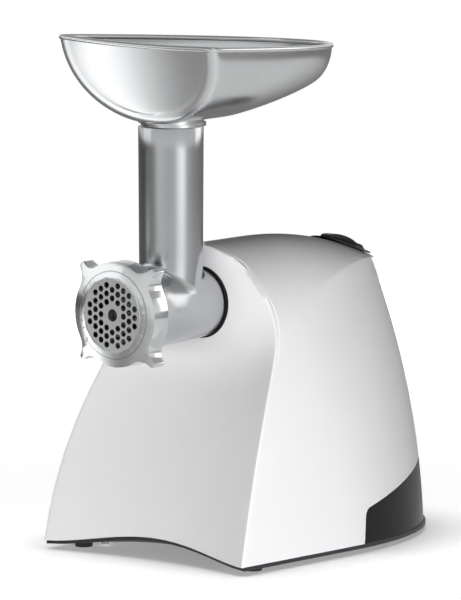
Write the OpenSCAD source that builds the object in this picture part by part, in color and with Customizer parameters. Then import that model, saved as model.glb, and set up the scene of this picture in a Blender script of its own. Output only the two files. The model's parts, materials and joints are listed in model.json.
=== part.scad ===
// Electric meat grinder: moulded tower housing with motor and gear train, cast head with feed
// tube, auger, knife, perforated plate and ring nut, and a lift-off hopper.
// X runs across the machine, -Y is the front with the plate, +Z is up.
// Heights inside the modules count from the housing's bottom edge, depths from its front edge.

/* [Housing] */
// Half-width of the housing at its bottom edge
base_half_w = 91.2; // [86:0.1:97]
// Depth of the housing at its bottom edge
body_d = 272; // [262:1:285]
// Height of the housing from its bottom edge to the ridge
body_h = 211; // [209:0.5:216]
// Wall thickness of the housing
wall = 2.6; // [2:0.1:3]
// Radius of the arc that the side walls lean in along
side_r = 540; // [500:5:600]
// Radius of the arc that the rear wall leans in along
rear_r = 500; // [450:5:600]
// Depth at which the side walls start to round towards the rear, at the bottom
round_start = 120; // [110:1:130]
// How far that start moves forward for each millimetre of height
round_lean = 0.32; // [0.28:0.01:0.34]
// Half-width of the dome's full oval section
dome_half_w = 74.2; // [72:0.1:77]
// Height of the dome's oval from its centre to the ridge
dome_rise = 91; // [88:0.5:94]
// Height above the oval's centre below which the dome runs straight
dome_flare = 35; // [30:1:40]
// Depth up to which the ridge is level
ridge_flat = 120; // [110:1:130]
// Radius of the ridge's fall to the rear
ridge_r = 294; // [280:1:320]

/* [Front face] */
// Depth of the front's corner edge at the bottom
edge_start = -0.7; // [-2:0.1:0]
// Lean of the corner edge at the bottom, in degrees
edge_lean_low = 11.5; // [9:0.1:14]
// Steepest lean of the corner edge, in degrees
edge_lean_high = 30.2; // [28:0.1:32]
// Height at which the corner edge reaches its steepest lean
edge_bend = 120; // [114:1:124]
// Height at which the corner edge starts to straighten
edge_turn = 138; // [132:1:142]
// Height at which the corner edge is upright
edge_upright = 173; // [168:1:178]
// How far the front's top edge comes forward of the upright stretch
brow = 3.5; // [2.5:0.1:4.5]
// Depth of the front's middle line at the bottom
middle_start = 10.1; // [8:0.1:12]
// Lean of the middle line at the bottom, in degrees
middle_lean_low = 9.7; // [8:0.1:12]
// Steepest lean of the middle line, in degrees
middle_lean_high = 31; // [29:0.1:33]
// Height at which the middle line reaches its steepest lean
middle_bend = 112; // [108:1:116]
// Height at which the middle line is upright
middle_upright = 148; // [144:1:152]
// Height of the arch in the front's bottom edge
arch_h = 9.5; // [6:0.5:11]
// Depth over which the arch fades into the level base
arch_d = 70; // [50:5:90]

/* [Base] */
// Thickness of the base plate, seen as a dark strip
strip_h = 2.8; // [2.4:0.1:3.4]
// How far the feet stand out below the base plate
foot_h = 3.5; // [3:0.1:5]
// Radius of a foot
foot_r = 6.25; // [5.5:0.05:7]
// Radius of a foot's stem
foot_stem_r = 2.6; // [2.2:0.1:3]
// Distance of the front feet from the housing's sides
foot_set = 13.2; // [12:0.2:20]
// Depth of the front feet
foot_front_y = 24; // [20:1:30]
// Distance of the rear feet from the housing's widest sides
foot_rear_set = 35.2; // [31:0.2:41]
// Distance of the rear feet from the rear edge
foot_rear_in = 56; // [52:1:66]
// Height of the locating rim inside the housing
rim_h = 5; // [4:0.5:7]
// Thickness of the locating rim
rim_t = 1.8; // [1.5:0.1:2.2]
// Depth at which the rear cover starts at the bottom
cover_y = 129; // [124:1:136]
// Height of the rear cover where its top edge starts
cover_h = 24; // [20:1:28]
// Rise of the rear cover's top edge for each millimetre of depth
cover_rise = 0.21; // [0.18:0.01:0.24]
// Width of a vent slot
vent_w = 3; // [2.5:0.1:3.5]
// Distance between vent slots
vent_pitch = 8; // [7:0.5:10]
// Gap between moulded covers
cover_gap = 0.3; // [0.2:0.05:0.5]

/* [Switch] */
// Distance of the knob's centre from the rear edge at the bottom
knob_in = 62; // [59:1:66]
// Radius of the round bezel
bezel_r = 22.5; // [21:0.1:24]
// How far the bezel stands above the housing
bezel_h = 1.2; // [0.8:0.1:1.6]
// Radius of the knob's disc
knob_r = 17.2; // [16:0.1:18]
// Height of the grip above the disc, at its middle
grip_h = 4.6; // [4:0.1:6]
// Thickness of the grip
grip_t = 8; // [6:0.5:10]
// Radius of the knob's stem
stem_r = 3; // [2.6:0.1:3.4]
// Side of the switch body
switch_w = 26; // [24:0.5:28]
// Height of the switch body
switch_h = 18; // [16:0.5:20]

/* [Grinder head] */
// Depth of the head's axis below the ridge
axis_drop = 40.7; // [39:0.1:43]
// Length of the head from the perforated plate to its rear shoulder
head_len = 90.1; // [86:0.1:94]
// Radius of the barrel behind the ring nut
barrel_r = 26.3; // [25.8:0.1:28]
// Radius of the barrel at its rear shoulder
shoulder_r = 24.4; // [24.2:0.1:25]
// Radius of the barrel's bore
bore_r = 21; // [20.6:0.1:21.6]
// Distance of the feed tube's axis from the shoulder
tube_set = 28.2; // [27:0.1:30]
// Radius of the feed tube at its foot
tube_foot_r = 22; // [21.8:0.05:22.5]
// Radius of the feed tube at its top
tube_top_r = 22.75; // [22.5:0.05:23.2]
// Radius of the feed tube's bore
tube_bore_r = 20.5; // [20:0.1:20.8]
// Length of the feed tube above the head's axis
tube_len = 126.2; // [115:0.1:135]
// Radius of the neck that enters the housing
neck_r = 23.3; // [23:0.05:23.5]
// Length of the neck
neck_len = 8.8; // [8:0.1:10]
// Radius over the bayonet lugs
lug_r = 24.3; // [24.1:0.05:24.4]
// Running clearance of turning pieces
run = 0.05; // [0.02:0.01:0.09]

/* [Ring nut, plate and knife] */
// Radius of the perforated plate
plate_r = 27; // [26.5:0.1:27.5]
// Thickness of the perforated plate
plate_t = 5; // [4:0.1:6]
// Radius of the plate's holes
hole_r = 2.15; // [1.5:0.05:2.3]
// Distance between neighbouring holes
hole_pitch = 5.9; // [5.6:0.1:6.4]
// Radius of the plate's centre bore
centre_r = 4.15; // [3.9:0.05:4.5]
// Outer radius of the ring nut
nut_r = 36.5; // [35.5:0.1:38]
// Radius of the ring nut's opening
nut_open_r = 25.25; // [24.8:0.05:25.8]
// Depth of the ring nut
nut_d = 17.4; // [16:0.1:19]
// Thickness of the ring nut's lip
nut_lip = 3; // [2.5:0.1:4]
// Radius of the thread between ring nut and head
thread_r = 31; // [30.5:0.1:32]
// Radius to the tips of the ring nut's lugs
tip_r = 47; // [44:0.1:48]
// Number of lugs
nut_lugs = 4; // [3:1:5]
// Radius swept by the knife
knife_r = 24.5; // [23:0.1:25]
// Thickness of the knife
knife_t = 6; // [5:0.1:7]
// Side of the auger's square for the knife
square_w = 8.6; // [8:0.1:9]

/* [Auger and drive] */
// Gap between the auger and the bore
auger_gap = 0.5; // [0.3:0.05:0.8]
// Radius of the auger's core
core_r = 9; // [8.5:0.1:10]
// Turns of the auger's flight
flight_turns = 2.5; // [2:0.25:3]
// Radius of the auger's rear journal
journal_r = 8.1; // [7.8:0.1:8.4]
// Width across the flats of the auger's tail
hex_w = 12.6; // [12:0.1:13.5]
// Radius of the output coupler
coupler_r = 11.5; // [11:0.1:12.5]
// Radius of the output shaft
shaft_r = 6; // [5.5:0.1:6.5]
// Teeth of each pinion
pinion_teeth = 12; // [12:1:13]
// Teeth of the first idler's large gear
first_teeth = 48; // [46:1:50]
// Teeth of the second idler's large gear
second_teeth = 40; // [38:1:42]
// Teeth of the output gear
output_teeth = 36; // [34:1:37]
// Gear module of the motor stage
module_one = 1; // [0.95:0.01:1.05]
// Gear module of the middle stage
module_two = 1.25; // [1.2:0.01:1.3]
// Gear module of the output stage
module_three = 1.5; // [1.45:0.01:1.55]
// Face width of the output gear
output_face = 16; // [14:0.5:17]
// Face width of the second idler's large gear
second_face = 11; // [10:0.5:12]
// Face width of the first idler's large gear
first_face = 8; // [7:0.5:9]
// Radius of the idler pins
pin_r = 4; // [3.6:0.1:4.2]
// Wall thickness of the gearbox
case_wall = 3; // [2.5:0.1:3.5]

/* [Motor] */
// Outer radius of the field stack
field_r = 38; // [36:0.5:40]
// Length of the field stack
stack_len = 40; // [36:1:44]
// Radius of the armature
armature_r = 21; // [20:0.1:22]
// Gap between armature and field
air_gap = 0.6; // [0.5:0.1:0.8]
// Radius of the motor shaft
motor_shaft_r = 3.5; // [3:0.1:3.8]
// Gap between the cooling fan and the bracket's posts
fan_gap = 1; // [0.8:0.1:1.5]
// Number of fan blades
fan_blades = 9; // [7:1:11]
// Radius of the commutator
commutator_r = 11; // [10:0.5:12]

/* [Hopper] */
// Half-width of the hopper's rim
rim_half_w = 71.2; // [68:0.1:75]
// Length of the hopper's rim
rim_len = 195.5; // [185:0.5:205]
// Depth of the rim's front edge
rim_front = -8.7; // [-12:0.1:-6]
// Height of the hopper from its keel to the rim at the front
hopper_h = 59.5; // [52:0.1:64]
// Fall of the rim for each millimetre towards the rear
rim_fall = 0.075; // [0.05:0.005:0.1]
// Height of the hopper's keel above the feed tube's top edge
keel_gap = 2.5; // [2:0.1:4]
// How far the front cheek leans back from rim to keel
cheek_lean = 14; // [10:0.5:18]
// Wall thickness of the hopper
sheet = 1.8; // [1.4:0.1:2.2]
// Radius of the rolled rim
bead_r = 1.85; // [1.5:0.05:2.2]
// Length of the neck's spigot in the feed tube
spigot_len = 12; // [10:0.5:15]
// Radius of the neck's bore
neck_bore_r = 18.8; // [18:0.1:19.2]

/* [Hidden] */
$fn = 48;

// Grid steps of the housing's surfaces
steps_straight = 5;
steps_round = 13;
steps_height = 14;
steps_top = 8;
steps_face = 7;
coarse = 1.5;
share_straight = 0.28;
dome_centre = body_h - dome_rise;

function lerp(a, b, t) = a + (b - a) * t;
function sag(r, x) = r - sqrt(r * r - x * x);

// ---------- Housing surface ----------

// A profile that leans ever more along an arc, runs straight, then bends upright along an arc
function s_profile(z, start, low, high, bend, turn, upright) =
    let (lower_r = bend / (sin(high) - sin(low)),
        bend_y = start + lower_r * (cos(low) - cos(high)),
        turn_y = bend_y + (turn - bend) * tan(high),
        upper_r = (upright - turn) / sin(high))
    z < bend ? start + lower_r * (cos(low) - cos(asin(sin(low) + z / lower_r)))
    : z < turn ? bend_y + (z - bend) * tan(high)
    : z < upright ? turn_y + upper_r * (cos(asin((upright - z) / upper_r)) - cos(high))
    : turn_y + upper_r * (1 - cos(high));

function brow_at(z) = brow * pow(max(0, z - edge_upright) / (body_h - edge_upright), 2);
function edge_y(z) = -brow_at(z)
    + s_profile(z, edge_start, edge_lean_low, edge_lean_high, edge_bend, edge_turn, edge_upright);
function middle_y(z) =
    s_profile(z, middle_start, middle_lean_low, middle_lean_high, middle_bend, middle_bend,
        middle_upright);
function side_w(z, inset) = base_half_w - sag(side_r, z) - inset;
function rear_y(z, inset) = body_d - sag(rear_r, z) - inset;

// A point of the wall: s runs from the front corner edge (0) to the middle of the rear (1)
function wall_point(s, z, inset) =
    let (w = side_w(z, inset), turn = round_start - round_lean * z,
        a = 90 * (s - share_straight) / (1 - share_straight))
    s <= share_straight ? [w, lerp(edge_y(z) + inset, turn, s / share_straight), z]
    : [w * cos(a), lerp(turn, rear_y(z, inset), sin(a)), z];

function ridge_z(y, inset) = body_h - inset - sag(ridge_r, max(0, y - ridge_flat));
function dome_drop(x, inset) =
    let (a = dome_half_w - inset, b = dome_rise - inset, c = dome_flare / b,
        x_flare = a * sqrt(1 - c * c), slope = b / a * sqrt(1 - c * c) / c)
    x < x_flare ? b * (1 - sqrt(1 - x * x / a / a)) : b - dome_flare + (x - x_flare) * slope;
function top_z(x, y, inset) = ridge_z(y, inset) - dome_drop(abs(x), inset);

// Height of the crease between wall and dome, found by halving
function crease_z(s, inset, low, high, left = 24) =
    let (mid = (low + high) / 2, p = wall_point(s, mid, inset))
    left == 0 ? mid
    : top_z(p.x, p.y, inset) > mid ? crease_z(s, inset, mid, high, left - 1)
    : crease_z(s, inset, low, mid, left - 1);

function arch(p) = arch_h * pow(1 - p * p, 2);
function mirrored(p) = [-p.x, p.y, p.z];
function flat(rows) = [for (row = rows) for (p = row) p];

// Triangles of a grid of points; an end row that has shrunk to one point gives no slivers
function grid_faces(rows, cols, first, flip, point_end = false) =
    [for (i = [0:rows - 2], j = [0:cols - 2])
        let (a = first + i * cols + j, b = a + 1, c = b + cols, d = a + cols,
            last = point_end && i == rows - 2)
        each (last ? [flip ? [a, c, b] : [a, b, c]]
            : flip ? [[a, c, b], [a, d, c]] : [[a, b, c], [a, c, d]])];

// A closed solid of the housing's outline, inset all round and reaching drop below its edge;
// a larger grain has fewer facets, which is enough for the inside
module body_solid(inset = 0, drop = 0, grain = 1) {
    steps_side = ceil(steps_straight / grain) + ceil(steps_round / grain);
    steps_up = ceil(steps_height / grain);
    steps_dome = ceil(steps_top / grain);
    steps_half = ceil(steps_face / grain);
    creases = [for (i = [0:steps_side])
        crease_z(i / steps_side, inset, dome_centre - 30, body_h)];
    crest = [for (i = [0:steps_side]) wall_point(i / steps_side, creases[i], inset)];
    walls = [for (j = [0:steps_up]) [for (i = [0:steps_side])
        wall_point(i / steps_side, lerp(-drop, creases[i], j / steps_up), inset)]];
    fan = [for (k = [0:steps_dome]) sin(72 * k / steps_dome) / sin(72)];
    rim = [for (k = [0:steps_dome])
        let (x = crest[0].x * fan[k], z = k == steps_dome ? crest[0].z : top_z(x, 0, inset))
        k == steps_dome ? crest[0] : [x, edge_y(z) + inset, z]];
    ridge = [for (i = [0:steps_side])
        lerp(rim[0].y, crest[steps_side].y,
            (crest[i].y - crest[0].y) / (crest[steps_side].y - crest[0].y))];
    dome = [for (i = [0:steps_side]) [for (k = [0:steps_dome])
        i == 0 ? rim[k] : k == steps_dome || i == steps_side ? crest[i]
        : let (x = crest[i].x * fan[k],
            y = lerp(ridge[i], crest[i].y, fan[k]) + pow(1 - i / steps_side, 2)
                * (rim[k].y - lerp(rim[0].y, crest[0].y, fan[k])))
        [x, y, top_z(x, y, inset)]]];
    edge = concat([for (j = [0:steps_up]) walls[j][0]],
        [for (k = [steps_dome - 1:-1:0]) rim[k]]);
    front = [for (e = edge) [for (m = [-steps_half:steps_half])
        let (p = m / steps_half, fade = min(1, max(0, 1 - e.z / edge_bend)),
            z = e.z + arch(p) * fade)
        abs(m) == steps_half || e.x == 0 ? [p * e.x, e.y, e.z]
        : [p * e.x, lerp(edge_y(z), middle_y(z), 1 - p * p) + inset, z]]];
    floor_grid = [for (i = [0:steps_side]) [for (m = [-steps_half:steps_half])
        let (p = m / steps_half, side = walls[0][i], first = front[0][m + steps_half],
            back = side.y - walls[0][0].y)
        abs(m) == steps_half ? [p * side.x, side.y, side.z]
        : i == 0 ? first
        : [p * side.x, side.y + (first.y - walls[0][0].y) * pow(1 - i / steps_side, 2),
            side.z + arch(p) * pow(max(0, 1 - back / arch_d), 2)]]];
    patches = [flat(walls), [for (p = flat(walls)) mirrored(p)], flat(dome),
        [for (p = flat(dome)) mirrored(p)], flat(front), flat(floor_grid)];
    starts = [for (i = 0, n = 0; i < len(patches); n = n + len(patches[i]), i = i + 1) n];
    across = 2 * steps_half + 1;
    polyhedron([for (patch = patches) each patch], concat(
        grid_faces(steps_up + 1, steps_side + 1, starts[0], true),
        grid_faces(steps_up + 1, steps_side + 1, starts[1], false),
        grid_faces(steps_side + 1, steps_dome + 1, starts[2], true, true),
        grid_faces(steps_side + 1, steps_dome + 1, starts[3], false, true),
        grid_faces(len(edge), across, starts[4], true, true),
        grid_faces(steps_side + 1, across, starts[5], false, true)), convexity = 6);
}

// ---------- Places that follow from the sizes ----------

stand = foot_h + strip_h;
axis_z = body_h - axis_drop;
tube_top = axis_z + tube_len;
knob_y = body_d - knob_in;
foot_x = base_half_w - foot_set;
foot_rear_x = base_half_w - foot_rear_set;
foot_rear_y = body_d - foot_rear_in;
front_y = middle_y(axis_z);
socket_lip = 1.4;
seal_t = 1.4;
shoulder_y = front_y - socket_lip - seal_t;
plate_y = shoulder_y - head_len;
nut_front = plate_y - nut_lip;
tube_y = shoulder_y - tube_set;
depth_mid = (nut_front + body_d) / 2;
neck_end = shoulder_y + neck_len;
case_y = neck_end + 0.8;
case_front = case_y + case_wall;
knife_y = plate_y + plate_t + run;
auger_front = knife_y + knife_t + 0.2;
washer_t = 1.4;
end_wall = 4.6;
end_wall_y = tube_y + tube_bore_r + 0.5;
auger_rear = end_wall_y - washer_t;
journal_end = end_wall_y + end_wall + 1;
tail_len = 9;
coupler_y = journal_end + 0.6;

// Gear train: axes stacked above each other, each stage behind the one in front of it
stage_three = module_three * (pinion_teeth + output_teeth) / 2;
stage_two = module_two * (pinion_teeth + second_teeth) / 2;
stage_one = module_one * (pinion_teeth + first_teeth) / 2;
second_z = axis_z - stage_three;
first_z = second_z - stage_two;
motor_z = first_z - stage_one;
gear_gap = 1.5;
output_y = case_front + gear_gap;
second_y = output_y + output_face + gear_gap;
first_y = second_y + second_face + gear_gap;
cover_front = first_y + first_face + gear_gap;
cover_back = cover_front + case_wall + 1;
addendum = 0.7;
dedendum = 0.95;

// Motor, from the gearbox cover to the rear
bracket_y = cover_back;
bracket_t = 3;
fan_y = bracket_y + bracket_t + 5;
fan_w = 9;
stack_y = fan_y + fan_w + 11;
stack_back = stack_y + stack_len;
coil_out = 8;
commutator_y = stack_back + 11;
commutator_len = 12;
rear_bracket_y = commutator_y + commutator_len + 4;
bearing_w = 6;
bearing_r = 9;
bolt_r = 2;
bolt_x = field_r - 5;
post_r = 4.5;
fan_r = bolt_x - post_r - fan_gap;

// Hopper
keel_z = tube_top + keel_gap;
hopper_z = keel_z + hopper_h - bead_r;

// Puts a piece drawn along +Z along +Y, from depth y on, beside the machine's middle at height z
module along(y, z = axis_z, x = 0) {
    translate([x, y, z]) rotate([-90, 0, 0]) children();
}
module disc(r, h) {
    cylinder(r = r, h = h);
}
module ring(outer, inner, h) {
    difference() {
        cylinder(r = outer, h = h);
        translate([0, 0, -1]) cylinder(r = inner, h = h + 2);
    }
}
// Moves the machine so that it stands on Z = 0 around the middle of its own length
module placed() {
    translate([0, -depth_mid, stand]) children();
}
module sides() {
    children();
    mirror([1, 0, 0]) children();
}
// A slot along Z, with round ends
module slot(length, width, depth) {
    hull() for (end = [-1, 1])
        translate([0, 0, end * (length - width) / 2])
            rotate([90, 0, 0]) cylinder(r = width / 2, h = depth, center = true, $fn = 12);
}

// ---------- Housing ----------

// Side view of the rear cover, grown by a margin
module cover_view(margin) {
    offset(r = margin) offset(r = 6) offset(delta = -6)
        polygon([[cover_y, -30], [cover_y + 6, cover_h], [body_d + 30, cover_h
            + cover_rise * (body_d + 24 - cover_y)], [body_d + 30, -30]]);
}
module cover_block(margin) {
    rotate([90, 0, 90]) translate([0, 0, -base_half_w - 10])
        linear_extrude(2 * base_half_w + 20) cover_view(margin);
}
// A screw post with two ribs that run out to the wall
boss_r = 4.5;
boss_top = 30;
rib_len = 34;
rib_t = 1.6;
module boss(p) {
    for (turn = [0, p.y < body_d / 2 ? -90 : 90]) hull() {
        translate([p.x, p.y, rim_h]) cylinder(r = boss_r, h = boss_top - rim_h, $fn = 16);
        translate([p.x, p.y, rim_h]) rotate(turn) translate([0, -rib_t / 2, 0])
            cube([rib_len, rib_t, boss_top - rim_h]);
    }
}
housing_bosses = [[base_half_w - 23, foot_front_y + 12], [base_half_w - 23, cover_y - 15]];
cover_bosses = [[foot_rear_x - 6, foot_rear_y - 11]];
screw_r = 1.8;
module bosses(places) {
    difference() {
        intersection() {
            body_solid(wall / 2, 0, coarse);
            sides() for (p = places) boss(p);
        }
        sides() for (p = places) translate([p.x, p.y, 0]) cylinder(r = screw_r, h = 20, $fn = 16);
    }
}
gland_z = 17;
gland_r = 7;
cord_r = 4;
gland_in = body_d - wall - 2.1;
gland_out = body_d - 0.8;

module slope_axis(at = knob_y) {
    lean = asin((at - ridge_flat) / ridge_r);
    translate([0, at, ridge_z(at, 0)]) rotate([-lean, 0, 0]) children();
}
cup_r = knob_r + 1.4;
module housing() color("white") placed() {
    difference() {
        body_solid();
        body_solid(wall, 8, coarse);
        along(front_y - 20) disc(neck_r + 2.1, 40);
        slope_axis() translate([0, 0, -20]) disc(cup_r + cover_gap, 40);
        cover_block(0);
    }
    bosses(housing_bosses);
}

vent_count = 11;
module rear_vents() {
    for (i = [0:vent_count - 1])
        let (a = (i - (vent_count - 1) / 2) * 8.5)
        if (abs(a) > 12)
            translate([0, round_start, 0]) rotate([0, 0, -a])
                translate([0, body_d - round_start, gland_z + 6]) slot(22, vent_w, 130);
}
module rear_cover() color([0.1, 0.1, 0.11]) placed() {
    difference() {
        intersection() {
            difference() {
                body_solid();
                body_solid(wall, 8, coarse);
            }
            cover_block(-cover_gap);
        }
        rear_vents();
        along(body_d - 30, gland_z) disc(gland_r, 60);
    }
    bosses(cover_bosses);
}

// All of the housing's plan between two heights
module slab(low, high) {
    translate([-base_half_w - 1, -body_d, low])
        cube([2 * base_half_w + 2, 3 * body_d, high - low]);
}
floor_vents = 5;
module base_plate() color([0.2, 0.2, 0.22]) placed() difference() {
    union() {
        difference() {
            intersection() {
                translate([0, 0, -strip_h]) body_solid();
                slab(-stand, 2 * arch_h);
            }
            body_solid();
        }
        difference() {
            body_solid(wall + cover_gap, 0.5, coarse);
            body_solid(wall + cover_gap + rim_t, 2, coarse);
            slab(rim_h, body_h + 1);
        }
    }
    sides() for (i = [0:floor_vents - 1])
        translate([30, round_start + i * vent_pitch, 0]) rotate([90, 90, 90])
            slot(28, vent_w, 20);
    sides() {
        for (p = [[foot_x, foot_front_y], [foot_rear_x, foot_rear_y]])
            translate([p.x, p.y, -10]) cylinder(r = foot_stem_r + 0.1, h = 20, $fn = 16);
        for (p = concat(housing_bosses, cover_bosses))
            translate([p.x, p.y, -10]) cylinder(r = screw_r + 0.2, h = 20, $fn = 16);
    }
}
module foot(x, y) color([0.06, 0.06, 0.06]) placed() translate([x, y, 0]) {
    translate([0, 0, -stand]) disc(foot_r, foot_h);
    translate([0, 0, -strip_h - 1]) disc(foot_stem_r, strip_h + 3);
}
module base_screws() color("silver") placed() sides()
    for (p = concat(housing_bosses, cover_bosses)) translate([p.x, p.y, -strip_h]) {
        translate([0, 0, -2]) disc(screw_r * 2, 2);
        disc(screw_r - run, rim_h + 10);
    }

module cord_gland() color([0.08, 0.08, 0.08]) placed() along(0, gland_z) rotate_extrude()
    polygon([[cord_r, gland_in - 4], [gland_r + 2, gland_in - 4], [gland_r + 2, gland_in],
        [gland_r - 0.1, gland_in], [gland_r - 0.1, gland_out], [cord_r, gland_out]]);

// ---------- Switch ----------

seat_gap = 0.15;
cup_floor = 5;
// A round solid between two heights above the dome
module dome_disc(r, low, high) {
    rings = 5;
    round = 24;
    spots = concat([[0, 0]], [for (i = [1:rings], k = [0:round - 1])
        r * i / rings * [sin(360 * k / round), cos(360 * k / round)]]);
    count = len(spots);
    edge = count - round;
    function spot(i, k) = 1 + i * round + k % round;
    sheet_faces = concat([for (k = [0:round - 1]) [0, spot(0, k), spot(0, k + 1)]],
        [for (i = [0:rings - 2], k = [0:round - 1]) each [[spot(i, k), spot(i + 1, k),
            spot(i + 1, k + 1)], [spot(i, k), spot(i + 1, k + 1), spot(i, k + 1)]]]);
    polyhedron([for (h = [high, low]) for (p = spots)
            [p.x, knob_y + p.y, top_z(p.x, knob_y + p.y, 0) + h]],
        concat(sheet_faces, [for (f = sheet_faces) [f[0] + count, f[2] + count, f[1] + count]],
            [for (k = [0:round - 1]) let (a = edge + k, b = edge + (k + 1) % round)
                each [[a, a + count, b + count], [a, b + count, b]]]), convexity = 4);
}
module switch_bezel() color([0.07, 0.07, 0.07]) placed() difference() {
    union() {
        dome_disc(bezel_r, seat_gap, bezel_h);
        slope_axis() translate([0, 0, -cup_floor]) disc(cup_r, cup_floor - 0.3);
    }
    slope_axis() translate([0, 0, 1.2 - cup_floor]) disc(knob_r + 0.4, 20);
    slope_axis() translate([0, 0, -20]) disc(stem_r + 3.2, 40);
}
module switch_knob() color([0.05, 0.05, 0.05]) placed() slope_axis() {
    translate([0, 0, -2.4]) disc(knob_r, 3.6);
    intersection() {
        translate([0, 0, 1]) rotate([0, 90, 0]) translate([0, 0, -grip_t / 2])
            scale([grip_h, knob_r, 1]) disc(1, grip_t);
        disc(knob_r, grip_h + 8);
    }
    translate([0, 0, -cup_floor - 8]) disc(stem_r, cup_floor + 7);
}
module switch_body() color([0.85, 0.85, 0.8]) placed() slope_axis()
    translate([0, 0, -cup_floor - 0.05]) difference() {
        union() {
            translate([-switch_w / 2, -switch_w / 2, -switch_h])
                cube([switch_w, switch_w, switch_h]);
            disc(stem_r + 3, 1.2);
        }
        translate([0, 0, -9]) disc(stem_r + run, 12);
    }

// ---------- Head ----------

entry = 45;
module sector(r, h, width, turn) {
    for (half = [0, 180]) rotate(turn + half - width / 2)
        rotate_extrude(angle = width) square([r, h]);
}
socket_r = neck_r + 4.5;
module drive_socket() color([0.09, 0.09, 0.09]) placed() along(0) difference() {
    rotate_extrude() polygon([[neck_r + run, front_y - socket_lip], [neck_r + 1.9,
        front_y - socket_lip], [neck_r + 1.9, front_y + wall + 1.2], [socket_r,
        front_y + wall + 1.2], [socket_r, case_y], [coupler_r + 2, case_y], [coupler_r + 2,
        neck_end + 0.3], [lug_r + 0.15, neck_end + 0.3], [lug_r + 0.15, neck_end - 2.9],
        [neck_r + run, neck_end - 2.9]]);
    translate([0, 0, front_y - 4]) sector(lug_r + 0.15, neck_end - front_y + 3, 50, entry);
}
module socket_seal() color([0.04, 0.04, 0.04]) placed()
    along(shoulder_y + 0.05) ring(shoulder_r, neck_r + run, seal_t - 0.1);

module head_outside() {
    rotate_extrude() polygon([[0, plate_y + 0.8], [thread_r, plate_y + 0.8],
        [thread_r, nut_front + nut_d + 1], [thread_r - 1.5, nut_front + nut_d + 3],
        [barrel_r + 1.2, tube_y - tube_foot_r - 2], [barrel_r, tube_y - tube_foot_r + 8],
        [shoulder_r, shoulder_y], [neck_r, shoulder_y], [neck_r, neck_end],
        [0, neck_end]]);
}
module head_inside() {
    rotate_extrude() polygon([[0, plate_y - 5], [plate_r + 0.2, plate_y - 5],
        [plate_r + 0.2, auger_front], [bore_r, auger_front + 3], [bore_r, end_wall_y],
        [journal_r + run, end_wall_y], [journal_r + run, end_wall_y + end_wall],
        [neck_r - 3.3, end_wall_y + end_wall], [neck_r - 3.3, neck_end + 5],
        [0, neck_end + 5]]);
}
saddle_h = 9;
module grinder_head() color([0.75, 0.75, 0.77]) placed() difference() {
    union() {
        along(0) head_outside();
        translate([0, tube_y, axis_z]) cylinder(r1 = tube_foot_r, r2 = tube_top_r,
            h = tube_top - axis_z);
        intersection() {
            translate([0, tube_y, axis_z + barrel_r - 8]) cylinder(r1 = tube_foot_r + saddle_h,
                r2 = tube_foot_r, h = 8 + saddle_h / 2);
            along(tube_y - 60) disc(barrel_r + 3, 80);
        }
        along(neck_end - 2.4) intersection() {
            ring(lug_r, neck_r - 1, 2.4);
            translate([0, 0, -1]) sector(lug_r + 1, 5, 40, 0);
        }
    }
    along(0) head_inside();
    translate([0, tube_y, axis_z]) cylinder(r = tube_bore_r, h = tube_top);
}

lug_lean = 45;
lug_fillet = 10;
lug_round = 1.4;
// The nut's outline: a wide fillet runs up both flanks of each lug
module nut_outline() {
    offset(r = -lug_fillet) offset(delta = lug_fillet) offset(r = lug_round)
        offset(delta = -lug_round) union() {
            circle(r = nut_r);
            for (i = [0:nut_lugs - 1]) rotate(lug_lean + i * 360 / nut_lugs)
                polygon([[nut_r - 5, -4.5], [tip_r, -2], [tip_r, 2], [nut_r - 5, 4.5]]);
        }
}
module ring_nut() color([0.8, 0.8, 0.82]) placed() along(nut_front) difference() {
    intersection() {
        linear_extrude(nut_d) nut_outline();
        rotate_extrude() polygon([[0, 0], [nut_open_r + 1.5, 0], [nut_r - 3, 2.2],
            [nut_r + 3, 3.6], [tip_r + 1, 6], [tip_r + 1, nut_d - 2], [nut_r + 3, nut_d - 1],
            [nut_r, nut_d], [0, nut_d]]);
    }
    translate([0, 0, -1]) disc(nut_open_r, nut_d + 2);
    translate([0, 0, nut_lip]) disc(thread_r + run, nut_d);
}

function hole_spots() = [for (i = [-5:5], j = [-5:5])
    let (x = i * hole_pitch * sqrt(3) / 2, y = (j + (abs(i) % 2) / 2) * hole_pitch,
        d = sqrt(x * x + y * y))
    if (d > centre_r + hole_r + 1.2 && d < plate_r - hole_r - 1.9) [x, y]];
module perforated_plate() color([0.7, 0.7, 0.72]) placed() along(plate_y) difference() {
    disc(plate_r, plate_t);
    translate([0, 0, -1]) linear_extrude(plate_t + 2) {
        for (p = hole_spots()) translate(p) circle(r = hole_r);
        circle(r = centre_r);
        translate([0, plate_r]) circle(r = 1.6);
    }
}
module knife() color([0.66, 0.66, 0.68]) placed() along(knife_y) difference() {
    linear_extrude(knife_t) union() {
        circle(r = square_w);
        for (i = [0:3]) rotate(i * 90 + 12) difference() {
            polygon([[0, -4.5], [knife_r - 2, -5.5], [knife_r - 0.6, -1], [knife_r - 1.5, 4],
                [0, 5]]);
            translate([knife_r * 0.62, 12.5]) circle(r = 9.5);
        }
    }
    translate([-square_w / 2 - 0.1, -square_w / 2 - 0.1, -1])
        cube([square_w + 0.2, square_w + 0.2, knife_t + 2]);
}

// Screw: the core and its flight are one section, twisted along the axis
flight_r = bore_r - auger_gap;
module flight_section() {
    circle(r = core_r, $fn = 18);
    polygon([[core_r - 2, -3.4], for (a = [-8, 0, 8]) flight_r * [cos(a), sin(a)],
        [core_r - 2, 3.4]]);
}
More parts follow.
